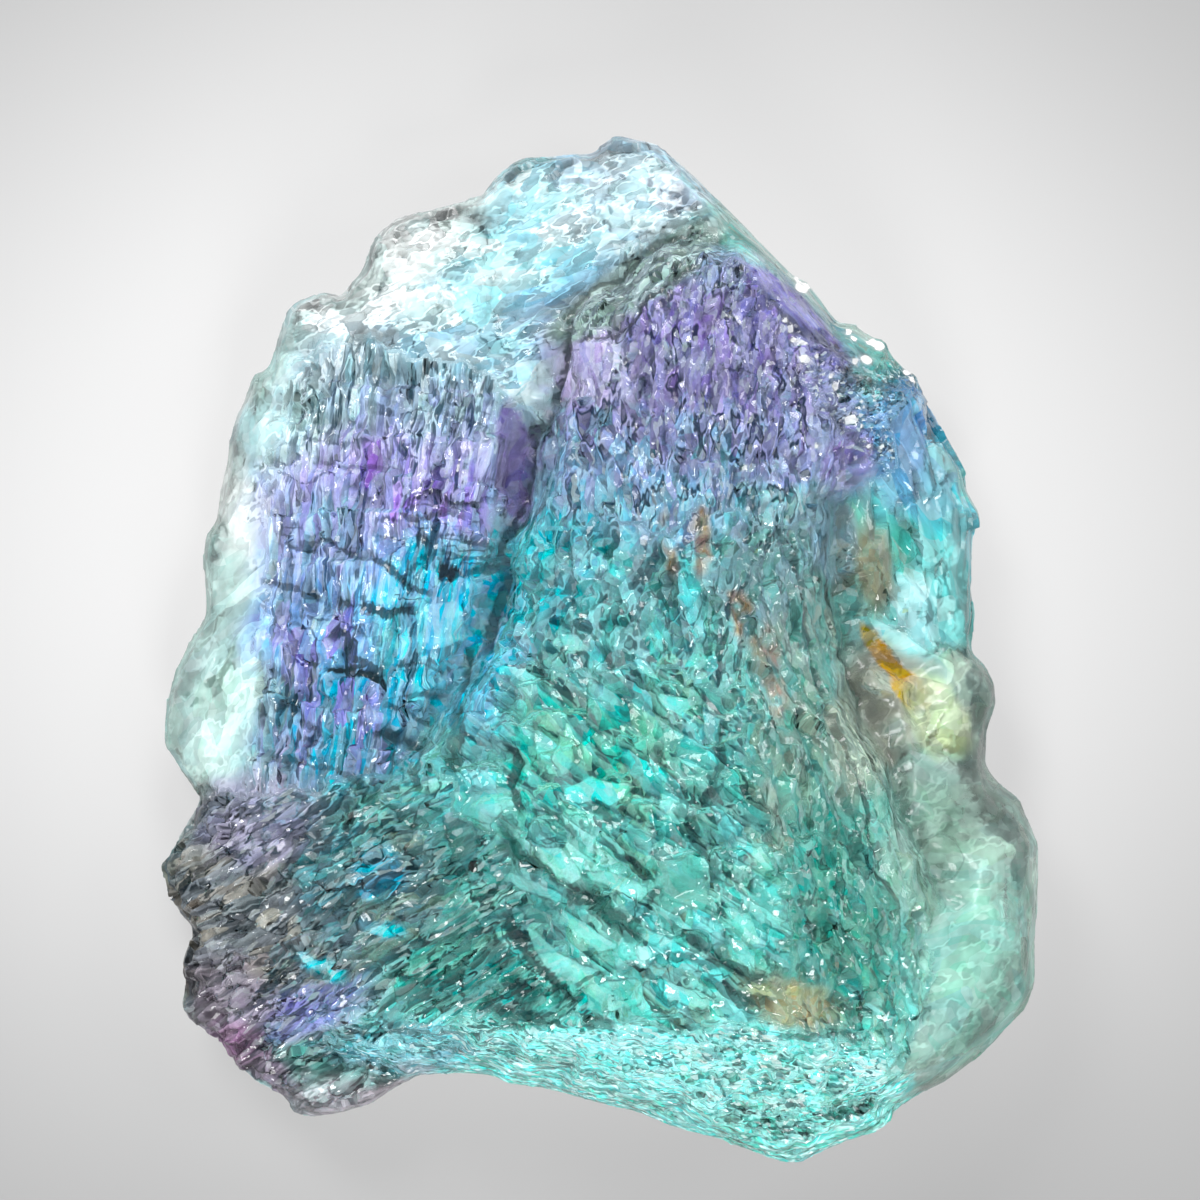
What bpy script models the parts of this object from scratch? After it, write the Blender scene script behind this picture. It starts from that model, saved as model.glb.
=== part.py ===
"""A rough rainbow fluorite crystal, lying on its flat cleavage back.

The specimen is one intergrown lump: a thin plate that carries a tent-shaped mound, a left wing that
dips into a crevice beside the mound, a lower right wing, a rounded right lobe and small lobes at the
lower left. It is built as one closed faceted solid. +X is to the right, +Y runs up the specimen's
length, +Z is the way the mound rises, and the origin is under the middle of its box.

Lengths and heights are in millimetres. The plan is drawn on a sheet of 1200 x 1200 units with x to
the right and y down, and CRYSTAL_LENGTH fixes what a unit measures.
"""

import math
import random

import bmesh
import bpy
import numpy as np
from mathutils import Vector, noise
from mathutils.bvhtree import BVHTree
from mathutils.geometry import delaunay_2d_cdt

# ---------------------------------------------------------------- driving dimensions, millimetres
CRYSTAL_LENGTH = 70.0  # from the bottom tip to the top point, along Y
RIM_STEP = 1.3  # longest stretch of rim between two points
RIM_ROUNDING = 1.6  # how far in from the rim the front and the back are rounded
FRONT_SHOULDER = 1.2  # how much the front bulges up inside the rim
BACK_SHOULDER = 0.7  # how much the back bulges down inside the rim
RIM_INSET = 0.5  # where the ring of points that shapes the rounding lies
FORM_STEP = 1.5  # longest stretch of a ridge, crevice or step between two points
LINE_JAG = 0.22  # how far a point of a front line strays in the plan; its height strays twice as far
JOINT_WIDTH = 0.16  # how far each flat facet stays back from its neighbour's
TIGHT_WIDTHS = (0.5, 0.85)  # and how far one that a line would cut is drawn in instead
CORNER_LEAST = 0.4  # two corners of a facet that are closer become one
LINE_CLEARANCE = 0.3  # how far a facet stays back from a ridge, crevice or step
SPACING_LEAST = 0.55  # two free points are never closer than this
FLOOR_CLEARANCE = 0.2  # how far the back outside its flat patch stays above the floor
LUMP_SIZE = 7.0  # width of the soft swells in the front
LUMP_HEIGHT = 0.45  # and how high they are
CLEAVAGE_STEP = 0.6  # height of one terrace on the back
MM = 0.001
SEED = 7

# ---------------------------------------------------------------- the rim, in sheet units
# Each stretch starts at its own height in millimetres and runs to the next one's.
RIM = [
    (
        "left shoulder",
        3.0,
        [(216, 512), (221, 484), (226, 460), (228, 440), (234, 420), (243, 400), (252, 373)]
        + [(267, 368), (276, 340), (286, 309), (296, 300), (324, 290), (341, 295), (349, 284)],
    ),
    (
        "upper left",
        3.2,
        [(360, 271), (370, 241), (381, 230), (395, 219), (412, 212), (440, 205), (480, 195)]
        + [(493, 178), (511, 161), (524, 156), (552, 154), (592, 152), (600, 144)],
    ),
    (
        "top point",
        3.0,
        [(616, 133.7), (640, 139), (660, 144), (677, 160), (700, 180), (720, 200), (740, 220)]
        + [(760, 241), (780, 261), (793, 275), (807, 281), (818, 295), (838, 323)],
    ),
    (
        "right shoulder",
        4.2,
        [(848, 322), (856, 325), (870, 335), (883, 339), (889, 344), (892, 354), (903, 367)]
        + [(917, 375), (924, 395), (930, 407), (940, 425), (966, 469), (967, 488), (977, 513)],
    ),
    (
        "right wing",
        3.6,
        [(978, 525), (973, 543), (972, 580), (977, 615), (972, 651), (986, 665), (994, 683)]
        + [(997, 704), (987, 731), (986, 764), (998, 782), (1020, 798), (1027, 818)],
    ),
    (
        "right lobe",
        5.5,
        [(1038.3, 843), (1038.3, 880), (1034, 950), (1035, 982), (1025, 1008), (1005, 1028)]
        + [(995, 1040), (979, 1056), (944, 1081), (915, 1095), (898, 1106), (888, 1123)],
    ),
    (
        "bottom tip",
        6.5,
        [(870, 1133), (850, 1139), (820, 1151), (803, 1160), (788, 1162.2), (770, 1158)]
        + [(750, 1150), (720, 1139), (670, 1125), (640, 1112), (590, 1100), (540, 1086)],
    ),
    (
        "bottom arch",
        5.5,
        [(510, 1084), (490, 1075), (460, 1073), (420, 1075), (400, 1086), (370, 1105)]
        + [(338, 1114), (310, 1118), (294, 1112), (281, 1094), (257, 1084), (240, 1068)],
    ),
    (
        "lower left lobes",
        3.8,
        [(216, 1038), (190, 1023), (180, 1008), (185, 979), (183, 960), (192, 929), (180, 916)]
        + [(166, 891), (160.3, 866), (174, 844), (187, 820), (199, 799)],
    ),
    (
        "left rim",
        3.0,
        [(182, 774), (163, 744), (163, 722), (167, 698), (174, 670), (186, 647), (204, 617)]
        + [(205, 600), (202, 562), (204, 537), (215, 520)],
    ),
]

# ---------------------------------------------------------------- the front's form lines
# Points are (sheet x, sheet y, height in millimetres). Ridges, steps and folds of the front.
FRONT_LINES = {
    # the broken step that ends the mound at its upper left, from its foot to its crest
    "wall foot": [(569, 316, 8.0), (592, 294, 8.3), (622, 281, 8.4), (642, 262, 8.2), (658, 243, 8.0)]
    + [(690, 232, 7.8), (706, 239, 8.2), (722, 248, 8.8)],
    "wall crest": [(574, 342, 11.2), (600, 337, 12.6), (628, 331, 13.2), (643, 308, 13.3)]
    + [(668, 284, 13.4), (690, 281, 13.2), (715, 272, 12.8), (738, 266, 12.2)],
    # the ridge with drusy crystals that runs down the mound's right shoulder
    "right ridge": [(738, 266, 12.2), (760, 286, 12.2), (782, 316, 11.8), (803, 345, 11.9)]
    + [(817, 371, 12.0), (835, 395, 12.0), (835, 432, 12.6)],
    # the crevice between the left wing and the mound, and its lip on the mound's side
    "crevice": [(566, 345, 8.6), (563, 368, 8.2), (553, 400, 7.6), (544, 424, 6.8), (534, 440, 6.2)]
    + [(525, 475, 6.0), (522, 511, 6.2), (503, 545, 6.8), (509, 580, 7.2), (489, 629, 7.8)]
    + [(465, 667, 8.2), (436, 716, 9.2), (408, 755, 10.2), (384, 783, 11.2)],
    "crevice lip": [(574, 342, 11.2), (576, 372, 11.0), (568, 405, 10.8), (560, 436, 10.4)]
    + [(546, 476, 10.2), (540, 512, 10.2), (521, 548, 10.4), (525, 584, 11.0), (507, 630, 11.8)]
    + [(484, 672, 12.6), (458, 722, 13.4), (432, 765, 14.2)],
    "wing lip": [(545, 352, 9.4), (535, 385, 9.3), (502, 412, 9.2), (497, 455, 8.9), (499, 505, 8.8)]
    + [(484, 548, 9.0), (488, 585, 9.2), (468, 628, 9.5), (444, 668, 9.8), (414, 716, 10.4)]
    + [(388, 748, 10.8)],
    # the crisp edge where the mound's right flank ends
    "right hip": [(835, 432, 12.6), (812, 505, 13.2), (808, 570, 14.0), (825, 680, 15.8)]
    + [(842, 722, 16.6), (862, 757, 17.6), (884, 812, 18.6), (905, 860, 18.6), (926, 902, 17.0)],
    # the lower ground to the right of the mound
    "right foot": [(850, 446, 9.6), (832, 505, 9.2), (832, 570, 9.4), (844, 676, 10.4)]
    + [(860, 720, 11.2), (881, 754, 12.0), (902, 810, 13.0), (922, 858, 13.8), (944, 900, 14.4)],
    # the edge between the mound's front and the steep drusy face under it
    "brow": [(330, 1034, 9.0), (372, 1022, 11.6), (420, 1016, 14.2), (500, 1012, 18.2)]
    + [(600, 1018, 21.6), (700, 1012, 23.6), (800, 1014, 21.4), (858, 1034, 18.0), (900, 1056, 14.0)],
    # ridges of the lower left lobes, which sweep up to the right
    "wing end": [(384, 783, 11.2), (348, 801, 11.0), (306, 835, 9.8), (262, 877, 8.0), (226, 894, 6.6)],
    "middle lobe": [(246, 958, 7.6), (290, 934, 9.6), (340, 918, 11.6), (400, 896, 14.4)]
    + [(462, 868, 17.0)],
    "pink lobe seam": [(284, 1066, 5.8), (330, 1056, 7.0), (380, 1062, 7.4), (404, 1072, 6.4)],
    # the folds of the right wing
    "right wing fold": [(868, 436, 9.8), (886, 480, 9.2), (904, 540, 8.6), (926, 600, 7.8)]
    + [(944, 640, 7.2)],
    "right lobe ridge": [(868, 692, 11.2), (900, 705, 11.0), (925, 735, 10.4), (947, 757, 9.4)],
}
FRONT_SPOTS = {
    "upper plate": [(400, 262, 6.2), (452, 300, 7.4), (520, 256, 7.4), (528, 320, 8.3), (600, 216, 7.2)]
    + [(642, 186, 6.4), (500, 206, 6.0), (684, 206, 6.8), (716, 226, 7.0), (350, 330, 6.4), (560, 196, 6.4)],
    "left wing": [(436, 366, 8.8), (420, 440, 9.6), (400, 520, 10.0), (380, 600, 10.2), (350, 680, 10.2)]
    + [(330, 740, 10.0), (330, 345, 6.8), (292, 430, 7.0), (268, 520, 7.0), (258, 600, 6.8)]
    + [(250, 690, 6.7), (256, 760, 7.2)],
    "spine": [(698, 340, 14.0), (704, 420, 15.2), (694, 520, 17.0), (684, 620, 19.2), (672, 720, 22.2)]
    + [(654, 800, 25.2), (648, 862, 26.8), (690, 884, 26.8), (676, 940, 26.2)],
    "left hip": [(476, 812, 16.8), (524, 878, 20.2), (580, 940, 22.6), (640, 986, 24.0)],
    "mound": [(620, 400, 13.2), (606, 520, 14.8), (584, 640, 17.0), (566, 740, 19.6), (566, 820, 22.4)]
    + [(764, 400, 14.2), (766, 520, 15.6), (760, 640, 18.4), (762, 740, 21.6), (786, 840, 23.8)]
    + [(850, 930, 20.6), (760, 930, 24.6)],
    "purple wedge": [(790, 298, 8.2), (822, 334, 8.0), (850, 362, 8.4), (876, 402, 9.0)],
    "right shoulder": [(900, 400, 7.2), (930, 460, 7.0), (950, 530, 6.4)],
    "ochre hollow": [(868, 600, 8.4), (884, 660, 7.2), (912, 694, 7.0), (948, 706, 7.6), (976, 694, 6.6)],
    "right lobe": [(930, 800, 12.4), (946, 850, 13.6), (976, 900, 13.6), (972, 970, 12.8), (936, 1030, 12.0)]
    + [(1004, 850, 10.4), (1004, 940, 10.4), (920, 1066, 10.6)],
    "drusy face": [(420, 1050, 9.6), (500, 1046, 12.6), (600, 1060, 15.4), (700, 1076, 16.0)]
    + [(800, 1080, 15.2), (850, 1094, 11.8), (790, 1130, 10.4), (730, 1112, 11.4)],
    "lower left": [(214, 850, 5.8), (250, 826, 7.4), (300, 792, 9.2), (222, 930, 5.8), (300, 892, 8.4)]
    + [(230, 1000, 6.8), (300, 990, 9.8), (380, 968, 13.2), (460, 950, 16.6), (540, 990, 19.4)]
    + [(276, 1044, 6.4), (340, 1086, 8.0), (216, 980, 6.0)],
}

# ---------------------------------------------------------------- the back's form
# The flat patch is one cleavage face, on which the specimen lies.
FLAT_PATCH = [(440, 520), (556, 470), (700, 456), (800, 516), (846, 640), (868, 770), (850, 884)]
FLAT_PATCH += [(770, 950), (630, 968), (490, 930), (400, 850), (376, 730), (392, 610)]
BACK_SPOTS = {
    "upper back": [(480, 300, 1.6), (640, 260, 1.4), (760, 330, 1.3), (380, 360, 1.7)],
    "side backs": [(290, 520, 1.8), (270, 700, 1.8), (930, 520, 1.8), (950, 700, 2.0), (980, 900, 2.6)],
    "lower back": [(260, 900, 1.9), (300, 1010, 2.4), (440, 1040, 2.4), (640, 1062, 2.6), (800, 1072, 3.2)]
    + [(900, 1020, 2.8)],
}

# ---------------------------------------------------------------- how each region breaks
# name, border in sheet units, facet length and width in mm, which way the length runs in degrees
# from +X, how steeply facets tilt at random, and how steeply they all tilt down the specimen
WHOLE_SHEET = [(0, 0), (1200, 0), (1200, 1200), (0, 1200)]
REGIONS = [
    (
        "right wing sheets",
        [(835, 432), (870, 400), (930, 405), (990, 520), (990, 650), (930, 640), (860, 625), (850, 480)],
        (5.0, 2.0, 100.0, 0.16, 0.0),
    ),
    (
        "right lobe lumps",
        [(838, 650), (990, 650), (1060, 780), (1060, 1040), (905, 1110), (900, 1056), (925, 1000)]
        + [(944, 900), (881, 754)],
        (3.0, 2.6, 60.0, 0.2, 0.0),
    ),
    (
        "drusy face ripples",
        [(330, 1034), (420, 1016), (600, 1018), (700, 1012), (800, 1014), (858, 1034), (900, 1056)]
        + [(905, 1110), (800, 1180), (400, 1100)],
        (2.3, 1.0, -6.0, 1.1, 0.0),
    ),
    (
        "lower left ridges",
        [(140, 800), (200, 795), (255, 790), (384, 783), (432, 765), (524, 878), (640, 990), (600, 1018)]
        + [(500, 1012), (330, 1034), (400, 1080), (300, 1130), (140, 1050)],
        (3.6, 1.5, 24.0, 0.34, 0.15),
    ),
    (
        "left wing ledges",
        [(285, 400), (330, 345), (430, 352), (502, 380), (497, 455), (499, 505), (484, 548), (468, 628)]
        + [(414, 716), (384, 783), (255, 790), (262, 700), (266, 600), (262, 500)],
        (3.2, 1.5, 84.0, 0.24, 0.25),
    ),
    (
        "upper mound wrinkles",
        [(574, 342), (628, 331), (668, 284), (738, 266), (803, 345), (835, 432), (812, 505), (540, 512)]
        + [(560, 436)],
        (3.2, 1.5, 92.0, 0.28, 0.08),
    ),
    (
        "middle mound scales",
        [(540, 512), (812, 505), (740, 560), (740, 680), (484, 660)],
        (2.5, 1.6, 88.0, 0.38, 0.1),
    ),
    (
        "right flank flow",
        [(740, 560), (812, 505), (825, 680), (842, 722), (884, 812), (944, 900), (925, 1000), (900, 1056)]
        + [(858, 1034), (850, 900), (790, 780), (740, 680)],
        (4.0, 1.7, 112.0, 0.24, 0.06),
    ),
    (
        "lower mound bricks",
        [(484, 660), (740, 680), (790, 780), (850, 900), (858, 1034), (640, 1020), (524, 878), (432, 765)],
        (3.2, 1.7, -32.0, 0.26, 0.34),
    ),
    (
        "left rim scallops",
        [(140, 330), (330, 345), (285, 400), (255, 800), (140, 800)],
        (3.1, 2.5, 70.0, 0.22, 0.0),
    ),
    ("plate flakes", WHOLE_SHEET, (3.1, 1.9, 8.0, 0.26, 0.0)),
]
BACK_REGIONS = [("cleavage chips", WHOLE_SHEET, (4.2, 3.0, 60.0, 0.14, 0.0))]

# ---------------------------------------------------------------- the sheet's scale
RIM_ON_SHEET = [point for _, _, points in RIM for point in points]
SHEET_LOW = [min(point[axis] for point in RIM_ON_SHEET) for axis in (0, 1)]
SHEET_HIGH = [max(point[axis] for point in RIM_ON_SHEET) for axis in (0, 1)]
MM_PER_UNIT = CRYSTAL_LENGTH / (SHEET_HIGH[1] - SHEET_LOW[1])
SHEET_CENTRE = [(low + high) / 2 for low, high in zip(SHEET_LOW, SHEET_HIGH)]


def off_sheet(point):
    """A point of the sheet in millimetres about the middle of the plan, with its height if it has one."""
    x = (point[0] - SHEET_CENTRE[0]) * MM_PER_UNIT
    y = (SHEET_CENTRE[1] - point[1]) * MM_PER_UNIT
    return (x, y, *point[2:])


# ---------------------------------------------------------------- geometry helpers
def subdivided(line, longest, closed=False):
    """The line with points added evenly, so that no stretch is longer than asked."""
    ends = line[1:] + line[:1] if closed else line[1:]
    points = []
    for start, end in zip(line, ends):
        pieces = max(1, math.ceil(math.dist(start[:2], end[:2]) / longest))
        for i in range(pieces):
            t = i / pieces
            points.append(tuple(a + (b - a) * t for a, b in zip(start, end)))
    return points if closed else points + [line[-1]]


def distance_to(lines, x, y):
    """The distance in the plan from a point to the nearest of some stretches, as an N x 4 array."""
    start, end = lines[:, :2], lines[:, 2:]
    along = end - start
    here = np.array((x, y)) - start
    t = np.clip((here * along).sum(1) / (along**2).sum(1), 0, 1)
    return float(np.sqrt(((here - along * t[:, None]) ** 2).sum(1).min()))


def stretches(line, closed=False):
    ends = line[1:] + line[:1] if closed else line[1:]
    return np.array([(*a[:2], *b[:2]) for a, b in zip(line, ends)])


def inside(polygon, x, y):
    """Whether a point of the plan is inside a polygon."""
    hit = False
    for (ax, ay, *_), (bx, by, *_) in zip(polygon, polygon[1:] + polygon[:1]):
        if (ay > y) != (by > y) and x < ax + (bx - ax) * (y - ay) / (by - ay):
            hit = not hit
    return hit


def triangulated(points, edges, border):
    """Delaunay triangles of the points inside the border, a loop of the first points."""
    flat = [Vector(point[:2]) for point in points]
    _, _, triangles, origins, _, _ = delaunay_2d_cdt(flat, edges, [list(range(border))], 1, 1e-6)
    return [[origins[i][0] for i in triangle] for triangle in triangles]


def loop_edges(first, count):
    return [(first + i, first + (i + 1) % count) for i in range(count)]


# ---------------------------------------------------------------- the rim in millimetres
def rim_in_space():
    points = []
    for (_, height, stretch), (_, height_next, _) in zip(RIM, RIM[1:] + RIM[:1]):
        for i, point in enumerate(stretch):
            rise = height + (height_next - height) * i / len(stretch)
            points.append(off_sheet((*point, rise)))
    return subdivided(points, RIM_STEP, closed=True)


RIM_LINE = rim_in_space()
RIM_STRETCHES = stretches(RIM_LINE, closed=True)


def from_rim(x, y):
    return distance_to(RIM_STRETCHES, x, y)


def shoulder(distance):
    """How far the rounding has risen, from 0 at the rim to 1 at its inner end."""
    short = 1 - min(distance / RIM_ROUNDING, 1)
    return math.sqrt(1 - short**2)


def ring_inside_rim():
    """Points a little inside the rim, one for each of its points that has room for it."""
    ring = []
    for before, here, after in zip(RIM_LINE[-1:] + RIM_LINE[:-1], RIM_LINE, RIM_LINE[1:] + RIM_LINE[:1]):
        along = Vector(after[:2]) - Vector(before[:2])
        inward = Vector((along.y, -along.x)).normalized() * RIM_INSET
        x, y = here[0] + inward.x, here[1] + inward.y
        if inside(RIM_LINE, x, y) and from_rim(x, y) > 0.8 * RIM_INSET:
            ring.append((x, y))
    return ring


# ---------------------------------------------------------------- smooth form under the facets
class Form:
    """The large shape of one side: planes stretched between its lines, spots and the rim."""

    def __init__(self, lines, spots, closed_lines=()):
        self.lines = {name: [off_sheet(point) for point in line] for name, line in lines.items()}
        self.closed = set(closed_lines)
        points, edges = list(RIM_LINE), loop_edges(0, len(RIM_LINE))
        places = {}
        for name, line in self.lines.items():
            indices = []
            for point in line:
                if point not in places:
                    places[point] = len(points)
                    points.append(point)
                indices.append(places[point])
            edges += list(zip(indices, indices[1:]))
            if name in self.closed:
                edges.append((indices[-1], indices[0]))
        points += [off_sheet(spot) for group in spots.values() for spot in group]
        triangles = triangulated(points, edges, len(RIM_LINE))
        self.tree = BVHTree.FromPolygons([Vector(point) for point in points], triangles)

    def height(self, x, y):
        hit = self.tree.ray_cast(Vector((x, y, 100)), Vector((0, 0, -1)))[0]
        if hit is None:
            return min(RIM_LINE, key=lambda point: math.dist(point[:2], (x, y)))[2]
        return hit.z


def front_height(x, y):
    """The front without its facets: planes, soft swells and the rounding inside the rim."""
    swell = LUMP_HEIGHT * noise.noise(Vector((x, y, 0)) / LUMP_SIZE)
    rounding = shoulder(from_rim(x, y))
    return FRONT.height(x, y) + rounding * (FRONT_SHOULDER + swell)


def back_height(x, y):
    """The back without its chips: it never comes down to the floor outside the flat patch."""
    rounding = shoulder(from_rim(x, y))
    return max(BACK.height(x, y) - rounding * BACK_SHOULDER, FLOOR_CLEARANCE)


# ---------------------------------------------------------------- facets
def seeds_of(regions, draw):
    """The middles of the facets: a jittered brick pattern in each region, set along its own grain."""
    reach = CRYSTAL_LENGTH * 0.75
    seeds = []
    borders = [[off_sheet(point) for point in border] for _, border, _ in regions]
    for number, (_, _, (length, width, angle, *_)) in enumerate(regions):
        cosine, sine = math.cos(math.radians(angle)), math.sin(math.radians(angle))
        for row in range(-int(reach / width), int(reach / width) + 1):
            for column in range(-int(reach / length), int(reach / length) + 1):
                u = (column + 0.5 * (row % 2) + draw.uniform(-0.2, 0.2)) * length
                v = (row + draw.uniform(-0.2, 0.2)) * width
                x, y = u * cosine - v * sine, u * sine + v * cosine
                owner = next((i for i, border in enumerate(borders) if inside(border, x, y)), None)
                if owner == number:
                    seeds.append((x, y, number))
    return seeds


def circumcentre(a, b, c):
    twice = 2 * (a.x * (b.y - c.y) + b.x * (c.y - a.y) + c.x * (a.y - b.y))
    squares = [point.length_squared for point in (a, b, c)]
    x = squares[0] * (b.y - c.y) + squares[1] * (c.y - a.y) + squares[2] * (a.y - b.y)
    y = squares[0] * (c.x - b.x) + squares[1] * (a.x - c.x) + squares[2] * (b.x - a.x)
    return (x / twice, y / twice)


def cells_of(seeds):
    """The corners round each seed, in order: the ground that is nearer to it than to any other."""
    flat = [Vector(seed[:2]) for seed in seeds]
    points, _, triangles, origins, _, _ = delaunay_2d_cdt(flat, [], [], 0, 1e-6)
    corners = {}
    for triangle in triangles:
        centre = circumcentre(*(points[i] for i in triangle))
        for i in triangle:
            corners.setdefault(origins[i][0], []).append(centre)
    cells = []
    for index, ring in corners.items():
        x, y, number = seeds[index]
        if inside(RIM_LINE, x, y):
            ring.sort(key=lambda corner: math.atan2(corner[1] - y, corner[0] - x))
            cells.append((x, y, number, ring))
    return cells


def drawn_in(ring, x, y, by):
    """The ring's corners moved towards its middle by a set distance, with no two of them crowded."""
    moved = []
    for corner in ring:
        away = math.dist(corner, (x, y))
        keep = max(1 - by / away, 0.3)
        corner = (x + (corner[0] - x) * keep, y + (corner[1] - y) * keep)
        if all(math.dist(corner, other) > CORNER_LEAST for other in moved):
            moved.append(corner)
    return moved


def gradient(height, x, y, span=0.9):
    """The slope of the smooth form about a point, along X and along Y."""
    along_x = (height(x + span, y) - height(x - span, y)) / (2 * span)
    along_y = (height(x, y + span) - height(x, y - span)) / (2 * span)
    return along_x, along_y


def jagged(line, draw):
    """The line with each point between its ends thrown a little off it, as a broken edge runs."""
    stray = [(draw.uniform(-1, 1), draw.uniform(-1, 1), draw.uniform(-2, 2)) for _ in line[1:-1]]
    thrown = [tuple(a + LINE_JAG * b for a, b in zip(*pair)) for pair in zip(line[1:-1], stray)]
    return line[:1] + thrown + line[-1:]


class Side:
    """The points, edges and triangles of the front or the back, from the shared rim inwards."""

    def __init__(self, form, height, draw=None):
        self.height = height
        self.points = list(RIM_LINE)
        self.edges = loop_edges(0, len(RIM_LINE))
        self.blocked = [RIM_STRETCHES]
        self.taken = {}
        places = {}
        for name, line in form.lines.items():
            line = subdivided(line, FORM_STEP, closed=name in form.closed)
            if draw:
                line = jagged(line, draw)
            indices = []
            for point in line:
                key = (round(point[0], 4), round(point[1], 4))
                if key not in places:
                    places[key] = self.add(point)
                indices.append(places[key])
            self.edges += list(zip(indices, indices[1:]))
            if name in form.closed:
                self.edges.append((indices[-1], indices[0]))
            self.blocked.append(stretches(line, closed=name in form.closed))
        self.blocked = np.concatenate(self.blocked)

    def add(self, point):
        self.points.append(point)
        cell = (math.floor(point[0]), math.floor(point[1]))
        self.taken.setdefault(cell, []).append(point)
        return len(self.points) - 1

    def add_free(self, x, y):
        """A point on the smooth form, unless it would crowd another point or a line."""
        near = [(math.floor(x) + i, math.floor(y) + j) for i in (-1, 0, 1) for j in (-1, 0, 1)]
        others = [point for cell in near for point in self.taken.get(cell, [])]
        crowded = any(math.dist(point[:2], (x, y)) < SPACING_LEAST for point in others)
        if not crowded and inside(RIM_LINE, x, y) and distance_to(self.blocked, x, y) > SPACING_LEAST:
            self.add((x, y, self.height(x, y)))

    def add_ring(self):
        for x, y in ring_inside_rim():
            self.add((x, y, self.height(x, y)))

    def clear(self, ring):
        """Whether a facet with these corners keeps off the rim, its ring and every form line."""
        border = subdivided(ring, 0.4, closed=True)
        return all(
            inside(RIM_LINE, *corner)
            and distance_to(self.blocked, *corner) > LINE_CLEARANCE
            and from_rim(*corner) > RIM_INSET + LINE_CLEARANCE
            for corner in border
        )

    def fitted(self, ring, x, y):
        """The facet's corners, drawn in as far as a line beside it asks, or none where it is cut."""
        for width in (JOINT_WIDTH, *TIGHT_WIDTHS):
            facet = drawn_in(ring, x, y, width)
            if len(facet) > 2 and self.clear(facet):
                return facet
        return []

    def add_facets(self, regions, draw, covered=None, level=None):
        """Flat facets with a narrow joint round each; where a line cuts one, its corners stay as points."""
        cut = []
        for x, y, number, ring in cells_of(seeds_of(regions, draw)):
            _, _, _, rough, lean = regions[number][2]
            tilt_x, tilt_y, lift = (draw.uniform(-rough, rough) for _ in range(3))
            if covered and inside(covered, x, y):
                continue
            facet = self.fitted(ring, x, y)
            if not facet:
                cut += ring + [(x, y)]
                continue
            slope_x, slope_y = gradient(self.height, x, y)
            middle = self.height(x, y) + 0.5 * lift
            if level:
                middle = level(middle)
            first = len(self.points)
            for corner_x, corner_y in facet:
                away_x, away_y = corner_x - x, corner_y - y
                rise = (slope_x + tilt_x) * away_x + (slope_y + tilt_y + lean) * away_y
                self.add((corner_x, corner_y, max(middle + rise, FLOOR_CLEARANCE)))
            self.edges += loop_edges(first, len(facet))
        for x, y in cut:
            if not (covered and inside(covered, x, y)):
                self.add_free(x, y)

    def triangles(self):
        return triangulated(self.points, self.edges, len(RIM_LINE))


# ---------------------------------------------------------------- the two sides
def terrace(height):
    """Cleavage breaks the back in level steps."""
    return max(CLEAVAGE_STEP * round(height / CLEAVAGE_STEP), CLEAVAGE_STEP)


FRONT = Form(FRONT_LINES, FRONT_SPOTS)
BACK = Form({"flat patch": [(x, y, 0.0) for x, y in FLAT_PATCH]}, BACK_SPOTS, closed_lines=["flat patch"])


def front_side():
    draw = random.Random(SEED)
    side = Side(FRONT, front_height, draw)
    side.add_ring()
    side.add_facets(REGIONS, draw)
    return side


def back_side():
    side = Side(BACK, back_height)
    side.add_ring()
    patch = [off_sheet(point) for point in FLAT_PATCH]
    side.add_facets(BACK_REGIONS, random.Random(SEED + 1), covered=patch, level=terrace)
    return side


# ---------------------------------------------------------------- one closed solid
def fluorite_colour():
    """Sea-green fluorite: a glassy stone, half clear."""
    material = bpy.data.materials.new("fluorite")
    material.use_nodes = True
    shader = material.node_tree.nodes["Principled BSDF"]
    shader.inputs["Base Color"].default_value = (0.22, 0.62, 0.58, 1.0)
    shader.inputs["Roughness"].default_value = 0.2
    shader.inputs["Metallic"].default_value = 0.0
    shader.inputs["IOR"].default_value = 1.434
    return material


def crystal_mesh(name):
    """The front and the back joined along the rim, in metres."""
    front, back = front_side(), back_side()
    shared = len(RIM_LINE)
    solid = bmesh.new()
    front_verts = [solid.verts.new(Vector(point) * MM) for point in front.points]
    back_verts = list(front_verts[:shared])
    back_verts += [solid.verts.new(Vector(point) * MM) for point in back.points[shared:]]
    for triangle in front.triangles():
        solid.faces.new([front_verts[i] for i in triangle])
    for triangle in back.triangles():
        solid.faces.new([back_verts[i] for i in reversed(triangle)])
    loose = [vert for vert in solid.verts if not vert.link_faces]
    bmesh.ops.delete(solid, geom=loose, context="VERTS")
    bmesh.ops.recalc_face_normals(solid, faces=solid.faces)
    print(f"front {len(front.points)} points, back {len(back.points)} points")
    mesh = bpy.data.meshes.new(name)
    solid.to_mesh(mesh)
    solid.free()
    mesh.materials.append(fluorite_colour())
    return mesh


def build():
    for old in list(bpy.context.scene.objects):
        bpy.data.objects.remove(old, do_unlink=True)
    crystal = bpy.data.objects.new("fluorite_crystal", crystal_mesh("fluorite_crystal"))
    bpy.context.scene.collection.objects.link(crystal)
    size = [round(side / MM, 2) for side in crystal.dimensions]
    print(f"fluorite_crystal: {len(crystal.data.polygons)} triangles, {size} mm")


build()
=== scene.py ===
# %% [markdown]
# # A rough rainbow fluorite crystal
# The specimen is one lump of fluorite: a glassy stone, half clear, coloured in bands from purple
# through blue to sea green. It can't stand on its pointed end, so it lies on its flat cleavage back
# and the camera looks straight down on its face.
#
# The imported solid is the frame. It already has the right outline, ridges and large facets, so this
# script works on a merged copy of it: finer breaks, grain and colour zones are added in code.

# %% The frame and its box
import math
from functools import partial

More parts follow.
